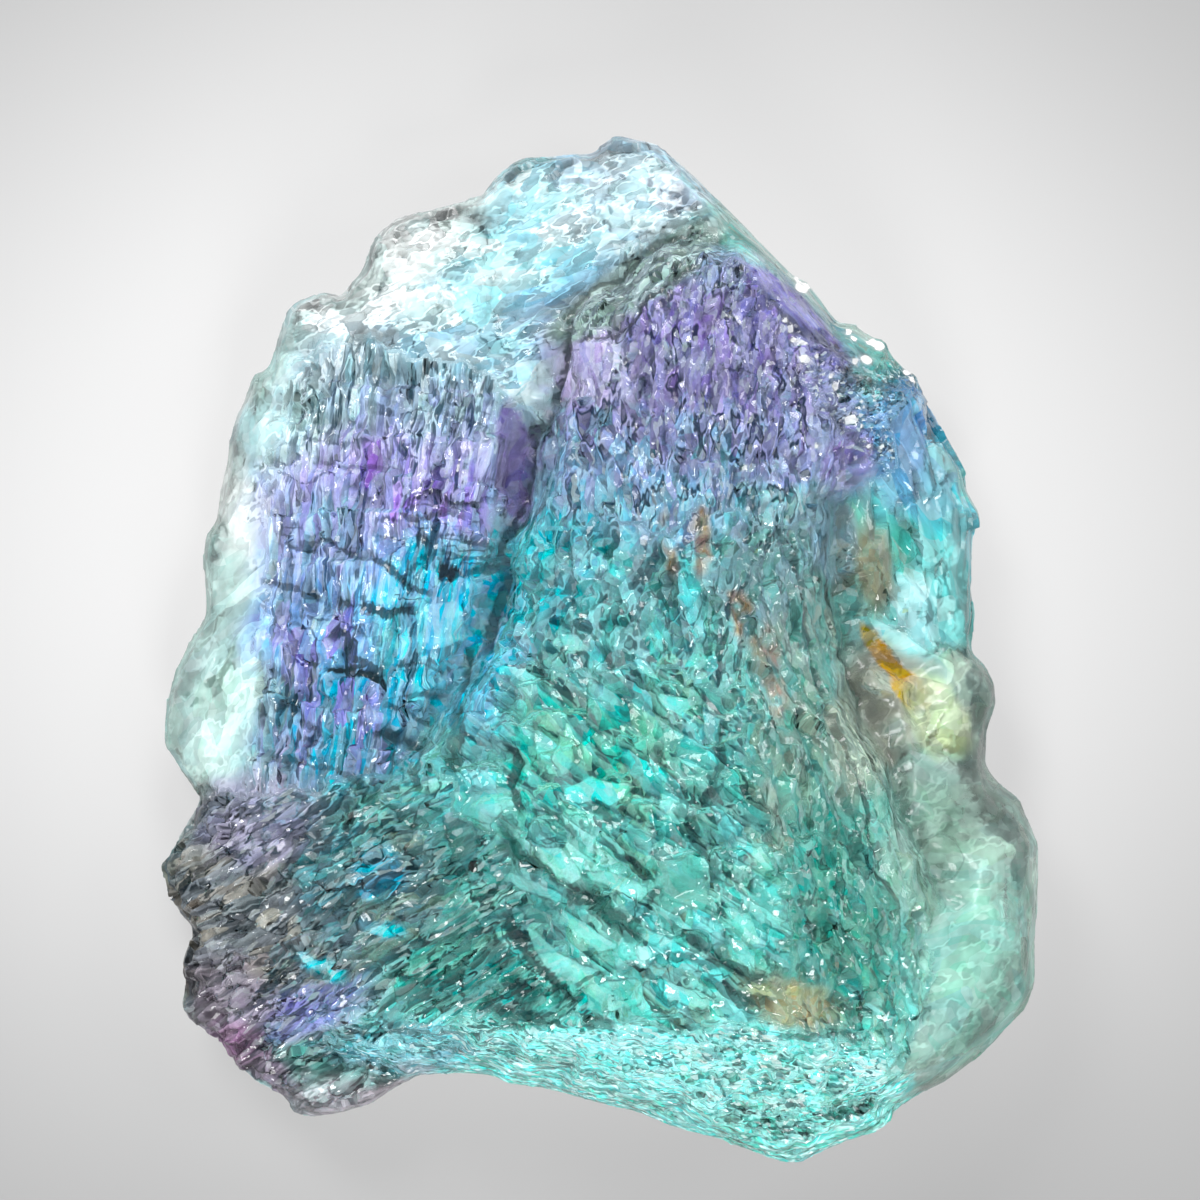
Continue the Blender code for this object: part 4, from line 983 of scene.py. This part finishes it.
# %% Zones of colour
# name, then x, y, half width, half height on the sheet and turn in degrees, or a region's name, then
# colour, fleck colour, strength
ZONES = [
    ("plate", (470, 270, 250, 150, 30), "#a8e2f0", "#f0fffc", 1.0),
    ("plate crown", (640, 175, 90, 60, 20), "#c8ecfc", "#dcecff", 0.9),
    ("plate edge", (390, 260, 130, 46, 45), "#e8fffc", "#ffffff", 1.0),
    ("plate shade", (570, 300, 70, 45, 30), "#8cccea", "#b8f0f6", 0.8),
    ("plate foot", (400, 370, 110, 45, 0), "#90bcd0", "#d0e8f8", 0.8),
    ("left rim", (225, 560, 80, 320, 0), "#ccf4ec", "#a8ccc8", 1.0),
    ("left rim glow", (240, 470, 40, 110, 15), "#f0fffa", "#ffffff", 0.9),
    ("left wing high", (410, 430, 125, 50, 0), "#9cb2dc", "#b0dcec", 1.0),
    ("left wing shoulder", (290, 440, 60, 54, 0), "#b8e4e8", "#d0f4f4", 0.95),
    ("left wing purple", (390, 500, 125, 70, 0), "#b2aefa", "#9c78ec", 1.0),
    ("left wing outer", (320, 590, 62, 110, 0), "#a4b2f4", "#98d8f8", 0.9),
    ("left wing blue", (370, 640, 110, 90, 0), "#84bcfc", "#a080f4", 0.9),
    ("left wing cyan", (440, 630, 72, 96, 15), "#68c4f0", "#60dcec", 0.9),
    ("left wing lower", (340, 735, 90, 60, 0), "#549ccc", "#8c74d0", 0.8),
    ("upper mound", (690, 370, 150, 110, 0), "#827cb0", "#5c4c90", 1.0),
    ("pale drips", (590, 375, 40, 55, 0), "#aca0d0", "#c8c8ec", 0.8),
    ("lilac foot", (660, 455, 150, 45, 0), "#7c7cb4", "#74a8c8", 0.9),
    ("blue fringe", (620, 512, 150, 40, 0), "#6ca4c4", "#8474bc", 0.8),
    ("lilac right", (800, 430, 60, 60, 0), "#7880ac", "#6c5c98", 0.9),
    ("wall", (640, 282, 110, 24, 35), "#94b4ac", "#c4dcd8", 1.0),
    ("cyan shoulder", (545, 575, 60, 60, 0), "#48c8d8", "#68e4ec", 0.9),
    ("hollow", (515, 460, 19, 62, 5), "#7468ac", "#7468ac", 1.0),
    ("mound middle", (640, 600, 90, 60, 0), "#5cb4b0", "#78a4b8", 0.7),
    ("dull shoulder", (780, 575, 70, 70, 0), "#5c8484", "#687890", 0.9),
    ("right flank", (800, 700, 56, 130, -14), "#4c8074", "#807464", 0.85),
    ("flank foot", (836, 880, 62, 130, -12), "#387c70", "#549c8c", 0.95),
    ("green middle", (590, 750, 80, 60, 0), "#4cccb0", "#88d898", 0.7),
    ("purple wedge", (796, 322, 70, 20, -45), "#7070b0", "#6858a4", 1.0),
    ("ridge rim", (800, 270, 110, 15, -43), "#a8d8d0", "#d8fff4", 0.9),
    ("right wing blue", (905, 445, 60, 66, -30), "#6694c4", "#567cb8", 0.9),
    ("right wing rim", (955, 520, 40, 90, 0), "#70c8d8", "#98e8e8", 0.9),
    ("right wing green", (930, 590, 50, 60, 0), "#64d0cc", "#98f0e8", 0.8),
    ("right wing cyan", (905, 620, 30, 40, -15), "#90f0f4", "#ccffff", 0.9),
    ("dark lens", (828, 530, 24, 50, 10), "#7498a8", "#809cb4", 0.9),
    ("lilac nick", (846, 462, 24, 32, -20), "#8c84c4", "#7458a8", 0.8),
    ("right lobe", "right_lobe", "#86a096", "#a0bcac", 1.0),
    ("lobe shoulder", (868, 716, 40, 80, -22), "#908f80", "#acac98", 0.85),
    ("lobe waist", (922, 850, 44, 70, -10), "#789c8c", "#98bca8", 0.8),
    ("right lobe foot", (990, 980, 76, 110, 0), "#80bcac", "#9cd4c4", 0.7),
    ("lobe edge", (1042, 880, 14, 190, 0), "#c8f4e4", "#e8fff8", 0.8),
    ("drusy face", "drusy_face", "#86fff4", "#c4fffb", 1.0),
    ("druse left", (400, 1045, 80, 30, 0), "#60a4bc", "#90d8e8", 0.8),
    ("tip", (800, 1115, 100, 50, 0), "#88fcec", "#bcfff8", 0.7),
    ("lower left", (260, 920, 130, 120, 0), "#687078", "#a89c88", 1.0),
    ("lower left teal", (350, 880, 60, 70, 20), "#1c3c48", "#3cb0c4", 0.8),
    ("periwinkle", (262, 815, 62, 44, 20), "#8884ac", "#b4acd4", 0.75),
    ("periwinkle low", (300, 1010, 90, 26, 20), "#6468b0", "#8088cc", 0.7),
    ("mauve", (225, 1010, 45, 50, 0), "#807484", "#a090a8", 0.8),
    ("mauve hem", (262, 1062, 60, 20, -40), "#84587c", "#a078a0", 0.8),
    ("dark hollow", (455, 900, 105, 90, -35), "#38706c", "#78ccbc", 0.9),
    ("brown hollow", (400, 885, 46, 70, -20), "#40545c", "#988c70", 0.75),
    ("hollow hem", (500, 985, 110, 34, -5), "#28746c", "#54c0b0", 0.8),
    ("sliver", (322, 962, 28, 8, -26), "#50d4e8", "#a0f0f8", 0.9),
    ("sliver", (384, 927, 22, 8, -10), "#48bcdc", "#80e0f0", 0.9),
    ("sliver", (380, 870, 24, 34, 0), "#3498c0", "#60d0e8", 0.7),
    ("pink lobe", "low_lobe", "#a8a4ac", "#c0b4c0", 1.0),
    ("brown cloud", (872, 566, 20, 48, 8), "#70684c", "#8c8064", 0.9),
    ("ochre", (884, 655, 9, 38, 38), "#cc8810", "#9c5c04", 1.0),
    ("ochre foot", (908, 688, 15, 26, 38), "#cc9828", "#b07010", 1.0),
    ("olive", (935, 716, 26, 46, 30), "#cce0a8", "#e8f4c8", 0.8),
    ("brown smear", (786, 992, 52, 26, -24), "#94784c", "#a88a64", 0.85),
]
print(f"{len(ZONES)} zones of colour")

# %% Stains, and beads painted white as glints
# The same columns as the zones have
STAINS = [
    ("stain one", (702, 540, 10, 36, -5), "#987054", "#b88c6c", 1.0),
    ("stain two", (668, 545, 7, 34, 5), "#986848", "#a87050", 0.9),
    ("stain three", (742, 622, 12, 42, 10), "#98644c", "#b07858", 1.0),
    ("stain four", (768, 672, 11, 46, 5), "#98685c", "#b47c64", 1.0),
    ("stain five", (770, 810, 12, 40, 15), "#848474", "#988878", 0.6),
]
# beads on the ridge, painted white as glints: x, y, half width, half height
PAINTED_BEAD_GLINTS = [
    (803, 289, 7, 6), (798, 281, 3, 3), (849, 330, 4, 3), (856, 337, 3, 3), (880, 346, 5, 4),
    (873, 341, 3, 3), (864, 361, 7, 5), (853, 364, 3, 3), (906, 374, 5, 3), (911, 382, 3, 3),
    (726, 318, 4, 2), (735, 321, 3, 2), (782, 321, 3, 3), (788, 328, 4, 3), (794, 339, 3, 2),
    (800, 345, 4, 3), (801, 361, 6, 4), (815, 357, 2, 2), (830, 376, 3, 2), (834, 388, 3, 5),
    (838, 398, 3, 2), (848, 421, 6, 5), (860, 428, 3, 2), (866, 449, 3, 3), (878, 447, 2, 2),
    (886, 455, 3, 2), (815, 446, 3, 2), (742, 470, 3, 2),
]
print(f"{len(STAINS)} stains and {len(PAINTED_BEAD_GLINTS)} beads")

# %% Lay the zones over each other
BODY_COLOURS = ("#5ab2aa", "#84d4be")
CRISP = {"hollow", "ridge rim", "ochre", "ochre foot", "dark lens", "wall", "purple wedge"}
EDGES = {"bead_glint": 1.0, **dict.fromkeys(CRISP, 0.25)}  # how soft an edge is, against the zone's size
SOFT_EDGE = 0.6
STEADY = 60  # sheet units; the noise pulls a zone smaller than this about less, so it keeps its place

warp = [
    14 * soft_noise(place, (3.0, 3.0, 3.0), 201 + i) + 9 * soft_noise(place, (0.9, 0.9, 0.9), 211 + i)
    for i in (0, 1)
]


def oval_share(x, y, half_width, half_height, turn, soft):
    """How much each point belongs to a ragged ellipse on the sheet, from 0 to 1."""
    c, s = math.cos(math.radians(turn)), math.sin(math.radians(turn))
    pull = min(1.0, max(0.25, min(half_width, half_height) / STEADY))
    dx, dy = sheet_x + pull * warp[0] - x, y - sheet_y - pull * warp[1]
    far = np.hypot((dx * c + dy * s) / half_width, (dy * c - dx * s) / half_height)
    share = np.clip((1 + soft / 2 - far) / soft, 0, 1)
    return share * share * (3 - 2 * share)


colour, fleck = (np.tile(linear(tone), (len(place), 1)) for tone in BODY_COLOURS)
stain_noise = soft_noise(place, (0.7, 0.7, 0.7), 215)
bead_glint_share = np.zeros(len(place))
painted_bead_glints = [("bead_glint", (*spot, 0), "#ffffff", "#ffffff", 1.0) for spot in PAINTED_BEAD_GLINTS]
for name, where, tone, fleck_tone, strength in ZONES + painted_bead_glints + STAINS:
    # A region's name in place of an ellipse: the colour changes where the form does.
    share = shares[where] if where in REGIONS else oval_share(*where, EDGES.get(name, SOFT_EDGE))
    share = strength * share
    if name.startswith("stain"):
        share = share * np.clip(0.6 + 1.5 * stain_noise, 0, 1)
    if name == "bead_glint":
        bead_glint_share = np.maximum(bead_glint_share, share)
    colour += share[:, None] * (np.array(linear(tone)) - colour)
    fleck += share[:, None] * (np.array(linear(fleck_tone)) - fleck)
print("mean colour", colour.mean(0).round(2))

# %% [markdown]
# ## Painted light and shade in the hollows
# Less light comes up through a hollow of the stone, and a ridge catches more. Tracing that takes many
# light paths, so it is painted into the tint instead: the stone's heights are laid on a plan grid and
# blurred, a point below its surroundings lies in a hollow and is painted darker, one above is painted
# lighter.

# %% Painted shade in hollows and painted light on ridges
PLAN_STEP = 0.5  # mm
BLURS = ((1.5, 0.30), (4.0, 0.12))  # blur in mm, and how much a step of 1 mm changes the painted light

columns = np.floor((place[:, :2] - place[:, :2].min(0)) / PLAN_STEP).astype(int)
plan = np.zeros(columns.max(0) + 1)
np.maximum.at(plan, (columns[:, 0], columns[:, 1]), place[:, 2])
land = (plan > 0).astype(float)


def blurred(grid, reach):
    """The grid blurred along both axes by a bell curve."""
    steps = np.arange(-int(3 * reach / PLAN_STEP), int(3 * reach / PLAN_STEP) + 1) * PLAN_STEP
    bell = np.exp(-(steps**2) / (2 * reach**2))
    for axis in (0, 1):
        grid = np.apply_along_axis(np.convolve, axis, grid, bell / bell.sum(), "same")
    return grid


painted_hollow_light = np.zeros(len(place))
for reach, amount in BLURS:
    around = blurred(plan, reach) / np.maximum(blurred(land, reach), 0.05)
    painted_hollow_light += amount * (plan - around)[columns[:, 0], columns[:, 1]]
painted_hollow_light = np.clip(painted_hollow_light, -0.5, 0.35) * front
land_around = (blurred(land, 0.7) / blurred(np.ones_like(land), 0.7).max())[columns[:, 0], columns[:, 1]]
rim = np.clip((0.94 - land_around) / 0.30, 0, 1)  # 1 at the outline, 0 a millimetre or so inside it
print(f"hollows and ridges change the light by {painted_hollow_light.min():.2f} to {painted_hollow_light.max():.2f}")

# %% The tint of each point
PAINTED_SIDE_LIGHT = 0.85  # how much painted light or shade a face gets from its turn to the light
cloud = soft_noise(place, (1.4, 1.4, 1.4), 302)
# Painted light and shade: a break turned to the light is painted brighter than its other side.
painted_side_light = PAINTED_SIDE_LIGHT * np.clip(toward_light, -0.5, 0.5)
# Painted shade in hollows and where the relief sinks into grooves and joints, painted light on ridges and on
# breaks turned to the light, and a random cloud of tone.
painted_light_and_cloud = np.clip(1.0 + painted_hollow_light + 0.12 * cloud + painted_side_light - np.clip(-relief * 0.8, 0, 0.3), 0.2, 1.6)


def keep_tint(name, tones):
    """Stores a colour a point, with the painted light and shade multiplied in, for the material to read."""
    tint = fine_mesh.color_attributes.new(name, "FLOAT_COLOR", "POINT")
    held = np.clip(tones * painted_light_and_cloud[:, None], 0.005, 0.98)
    tint.data.foreach_set("color", np.column_stack((held, np.ones(len(held)))).ravel())


STEEP = 0.75  # a side whose normal has a lower Z is seen edge on: it is made milky and painted with a glow
# The back has paler tints, so the face's own light and dark cells stay clear in front of it.
BACK_PALING = 0.5
DEPTH = 0.86  # between the painted lit cells the stone is a little deeper than the plain tint
paling = np.where(front > 0.5, 1.0, BACK_PALING)[:, None]
steep = np.clip((STEEP - normal[:, 2]) / 0.35, 0, 1) * np.clip((land_around < 0.999) + 0.3, 0, 1)
# The rim and steep sides are milky, and painted with a glow.
threads[:, 2] = np.maximum(threads[:, 2], np.maximum(rim, steep))
threads[:, 3] = bead_glint_share
keep_attribute("threads", threads)
keep_tint("tint", DEPTH * colour**paling)
keep_tint("fleck", DEPTH * fleck**paling)
print(f"brightness from {painted_light_and_cloud.min():.2f} to {painted_light_and_cloud.max():.2f}")

# %% [markdown]
# ## Fluorite
# Fluorite is calcium fluoride. It bends light less than glass, so it looks soft and watery, and its
# broken faces are glassy with fine roughness. Light passes through it, dyed a little more the deeper
# it goes. Its smallest breaks could be modelled, but that would take millions of faces, so the
# material draws them from the patterns on the mesh.

# %% The fluorite material
FLUORITE_IOR = 1.434
THREAD_SPACING = 0.8  # mm between threads, before each region stretches them
SPLIT, SPLIT_PLACE = "ShaderNodeSeparateColor", "ShaderNodeSeparateXYZ"
STORED = ("tint", "fleck", "threads", *patterns)

fluorite, tree = new_material("rough_broken_fluorite")
put = partial(add_node, tree)
stored = {name: put("ShaderNodeAttribute", {"attribute_name": name}) for name in STORED}
in_grain, in_thread = (stored[name].outputs["Vector"] for name in ("grain_place", "thread_place"))
tilt, contrast, jointed = put(SPLIT, {}, stored["habit"]).outputs
randomness, painted_emboss, flecked = put(SPLIT, {}, stored["manner"]).outputs
painted_highlight_amount, painted_thread_shade, milky_and_glow = put(SPLIT, {}, stored["threads"]).outputs
face_edge, face_painted_glow, patchy = put(SPLIT_PLACE, {}, stored["face"].outputs["Vector"]).outputs

plain_cells = {"voronoi_dimensions": "2D"}
angular_cells = {**plain_cells, "distance": "CHEBYCHEV"}  # straight-sided, as cleavage gives
coarse_cell = put("ShaderNodeTexVoronoi", angular_cells, in_grain, 1.0, Randomness=randomness)
finer = put(VECTOR, TIMES_PLUS, in_grain, (2.9, 2.3, 2.1), (7.7, 3.1, 5.3))
fine_cell = put("ShaderNodeTexVoronoi", plain_cells, finer, 1.0)
coarse_light, coarse_kind, coarse_hue = put(SPLIT, {}, coarse_cell.outputs["Color"]).outputs
fine_light, fine_depth, fine_glint = put(SPLIT, {}, fine_cell.outputs["Color"]).outputs
thread_noise = put("ShaderNodeTexNoise", {"noise_dimensions": "2D"}, in_thread, 1 / THREAD_SPACING, 2.0, 0.5)
print(f"the material reads {len(stored)} patterns")

# %% [markdown]
# A broken face is made of small chips. Each is a cell here, painted darker towards one side as if lit
# from the other, and the cells are painted lit or shaded. A dark joint runs round them.

# %% Painted light and shade of the cells
COARSE_LIGHT, FINE_LIGHT, PAINTED_CELL_SHADE = 0.72, 0.28, 0.55
LIT, UNLIT = (0.62, 0.76), (0.38, 0.18)  # a cell is painted lit, or shaded, as its light goes from one to the other
JOINT = (0.46, 0.56)  # the dark joint's start and full depth, out from a cell's middle
DEEP_TINT, PALE_TINT = (0.030, 0.060, 0.075), (2.15, 2.15, 2.15)  # against the plain tint: the painted shaded tint, also used for dark joints, and the painted lit tint

in_cell = put(VECTOR, LESS, in_grain, coarse_cell.outputs["Position"])
painted_side_shade = put(VECTOR, {"operation": "DOT_PRODUCT"}, in_cell, (0.3, 0.9, 0.0))
shine = put(MATH, TIMES_PLUS, coarse_light, COARSE_LIGHT, put(MATH, TIMES, fine_light, FINE_LIGHT))
# Painted shade: each cell darker towards one side, as if lit from the other.
shine = put(MATH, PLUS, shine, put(MATH, TIMES, painted_side_shade, put(MATH, TIMES, painted_emboss, PAINTED_CELL_SHADE)))
lit = put(MATH, TIMES, contrast, put(RANGE, {}, shine, *LIT))
unlit = put(MATH, TIMES, contrast, put(RANGE, {}, shine, *UNLIT))
broken = put(RANGE, {}, patchy, 0.40, 0.56, 0.15, 1.0)

# A large face has its own painted light or painted shade and a dark hem, and no cells.
on_face = put(RANGE, {}, face_edge, -0.04, 0.04)
beside_face = put(MATH, LESS, 1.0, on_face)
lit = put(MATH, MOST, put(MATH, TIMES, lit, beside_face), put(MATH, TIMES, on_face, face_painted_glow))
dull = put(MATH, TIMES, on_face, put(MATH, TIMES, face_painted_glow, -0.6))
unlit = put(MATH, MOST, put(MATH, TIMES, unlit, beside_face), dull)
joint = put(MATH, TIMES, beside_face, put(RANGE, {}, coarse_cell.outputs["Distance"], *JOINT))
hem = put(RANGE, {}, put(MATH, SIZE, face_edge), 0.03, 0.12, 0.8, 0.0)
line = put(MATH, TIMES, put(MATH, TIMES, jointed, put(MATH, MOST, joint, hem)), broken)

other = put(MATH, TIMES, flecked, put(RANGE, {}, coarse_kind, 0.55, 0.62))
plain = put(
    "ShaderNodeHueSaturation",
    {},
    put(RANGE, {}, coarse_hue, 0.0, 1.0, 0.478, 0.522),
    put(RANGE, {}, fine_depth, 0.0, 1.0, 0.87, 1.27),
    put(RANGE, {}, thread_noise, 0.30, 0.70, 1.2, 0.8),
    Color=put(MIX, COLOURS, other, stored["tint"], stored["fleck"]),
)
deep = put(VECTOR, TIMES, plain, DEEP_TINT)
pale = put(VECTOR, TIMES, put("ShaderNodeGamma", {}, plain, 0.88), PALE_TINT)
# The base colour: the tint with painted light and shade laid over it.
tint_and_painted_light = plain
for share, over in ((lit, pale), (unlit, deep), (line, deep)):
    tint_and_painted_light = put(MIX, COLOURS, share, tint_and_painted_light, over)
print(f"the cells take {len(tree.nodes)} nodes")

# %% [markdown]
# Pale threads of painted highlight run over the face with a dark one of painted shade close beside
# them, as the lit and the shaded lip of a hairline step. Dark lines of painted shade under steps cross the
# grain.

# %% Painted threads, and painted shade under the steps
PALE_THREAD, DARK_THREAD = 0.50, 0.585  # the level of the noise that each follows
THREAD_HALF = (0.020, 0.050)  # where a thread starts to fade, and ends, to each side of it
off_face = put(MATH, LESS, 1.0, put(MATH, TIMES, on_face, 0.8))
unbroken = put(MATH, TIMES, off_face, put(RANGE, {}, patchy, 0.44, 0.54, 0.2, 1.0))
for level, amount, over in ((DARK_THREAD, painted_thread_shade, deep), (PALE_THREAD, painted_highlight_amount, pale)):
    away = put(MATH, SIZE, put(MATH, LESS, thread_noise, level))
    thread = put(MATH, TIMES, put(RANGE, {}, away, *THREAD_HALF, 1.0, 0.0), amount)
    tint_and_painted_light = put(MIX, COLOURS, put(MATH, TIMES, thread, unbroken), tint_and_painted_light, over)

# Dark lines of painted shade under the small steps.
step_shade_away, step_shade_half, step_shade_darkness = put(SPLIT_PLACE, {}, stored["vein"].outputs["Vector"]).outputs
wobble = put(RANGE, {}, fine_cell.outputs["Distance"], 0.0, 0.7, -0.9, 0.9)
from_step_shade = put(MATH, PLUS, put(MATH, OVER, put(MATH, SIZE, step_shade_away), step_shade_half), wobble)
in_step_shade = put(MATH, TIMES, step_shade_darkness, put(RANGE, {}, from_step_shade, 0.7, 1.4, 1.0, 0.0))
tint_and_painted_light = put(MIX, COLOURS, put(MATH, TIMES, in_step_shade, put(MATH, TIMES, off_face, 0.9)), tint_and_painted_light, deep)
print(f"{len(tree.nodes)} nodes with the threads and painted_step_shades")

# %% [markdown]
# Where the cells lie in regular rows, as the bricks low on the mound do, a dark seam runs between the
# rows and the edge below it is painted lit. The thin rim is milky and painted bright as a glow, and
# the beads are painted white as glints.

# %% Rows, painted glints, painted shade in the cracks and the milky rim's painted glow
CLEAR = 0.80  # the share of light that goes through plain stone
MILKY_LOSS, BEAD_GLINT_LOSS = 0.50, 0.35
in_rows = put(MATH, TIMES, put(RANGE, {}, randomness, 0.75, 0.45), broken)
across_row = put(MATH, PART, put(SPLIT_PLACE, {}, in_grain).outputs["Y"])
from_middle = put(MATH, SIZE, put(MATH, LESS, across_row, 0.5))
seam = put(MATH, TIMES, in_rows, put(RANGE, {}, from_middle, 0.42, 0.49))
# Painted light on the lower edge of each row.
lit_edge = put(MATH, TIMES, in_rows, put(RANGE, {}, across_row, 0.70, 0.92, 0.0, 0.55))
# Painted glints: a few fine cells painted near white.
painted_glint = put(MATH, TIMES, stored["manner"].outputs["Alpha"], put(RANGE, {}, fine_glint, 0.90, 0.93))

crack_away, crack_width, crack_shade_share = put(SPLIT_PLACE, {}, stored["crack"].outputs["Vector"]).outputs
from_crack = put(MATH, OVER, put(MATH, SIZE, crack_away), crack_width)
for ragged_by in (put(RANGE, {}, patchy, 0.3, 0.7, -0.5, 0.5), put(MATH, TIMES, wobble, 0.4)):
    from_crack = put(MATH, PLUS, from_crack, ragged_by)
painted_crack_shade = put(MATH, TIMES, crack_shade_share, put(RANGE, {}, from_crack, 0.8, 1.25, 1.0, 0.0))

# The beads are painted white as glints, and are less clear.
bead_glint = put(RANGE, {}, stored["threads"].outputs["Alpha"], 0.40, 0.60)
overlays = (
    # painted glints
    (painted_glint, (*linear("#f4ffff"), 1)),
    # painted light on the rows' edges
    (put(MATH, TIMES, off_face, lit_edge), pale),
    (put(MATH, TIMES, seam, put(MATH, TIMES, off_face, 0.8)), deep),
    # painted shade in the cracks
    (painted_crack_shade, (*linear("#060e12"), 1)),
    # the milky rim, with its painted glow
    (put(MATH, TIMES, milky_and_glow, 0.40), pale),
    # painted white glints of the beads
    (bead_glint, WHITE),
)
for share, over in overlays:
    tint_and_painted_light = put(MIX, COLOURS, share, tint_and_painted_light, over)
clearness = CLEAR
for share, loss in ((milky_and_glow, MILKY_LOSS), (bead_glint, BEAD_GLINT_LOSS)):
    clearness = put(MATH, LESS, clearness, put(MATH, TIMES, share, loss))
print(f"{len(tree.nodes)} nodes with {len(overlays)} overlays")

# %% [markdown]
# The chips also catch the lights one by one, because each has a tilt of its own. It is added to the
# normal, which is the usual way for breaks finer than the mesh.

# %% Each cell's tilt
COARSE_TILT, FINE_TILT = 1.6, 1.0
facing = put("ShaderNodeNewGeometry", {}).outputs["Normal"]
for cell, amount in ((coarse_cell, COARSE_TILT), (fine_cell, FINE_TILT)):
    centred = put(VECTOR, LESS, cell.outputs["Color"], (0.5, 0.5, 0.5))
    leaning = put(MATH, TIMES, put(MATH, TIMES, tilt, off_face), amount)
    facing = put(VECTOR, PLUS, facing, put(VECTOR, {"operation": "SCALE"}, centred, leaning))
print(f"{len(tree.nodes)} nodes with the cells' tilt")

# %% The stone, put together
DYE_DENSITY = 18.0  # how fast the stone takes colour out of light, a metre
SHARP_EDGE = 32  # degrees; a sharper edge isn't smoothed over
stone = put(
    PRINCIPLED,
    {"distribution": "GGX"},
    Base_Color=tint_and_painted_light,
    Roughness=stored["habit"].outputs["Alpha"],
    IOR=FLUORITE_IOR,
    Transmission_Weight=clearness,
    Normal=put(VECTOR, {"operation": "NORMALIZE"}, facing),
)
absorb = put("ShaderNodeVolumeAbsorption", {}, (*linear("#a8e8e0"), 1), DYE_DENSITY)
put(OUTPUT, {}, stone, absorb)

fine_mesh.materials.clear()
fine_mesh.materials.append(fluorite)
fine_mesh.shade_smooth()
fine_mesh.set_sharp_from_angle(angle=math.radians(SHARP_EDGE))
print(f"the fluorite has {len(tree.nodes)} nodes")

# %% The crystal rides on the frame
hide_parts(NODE)
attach(crystal, "root")
print("the crystal stands for", NODE)
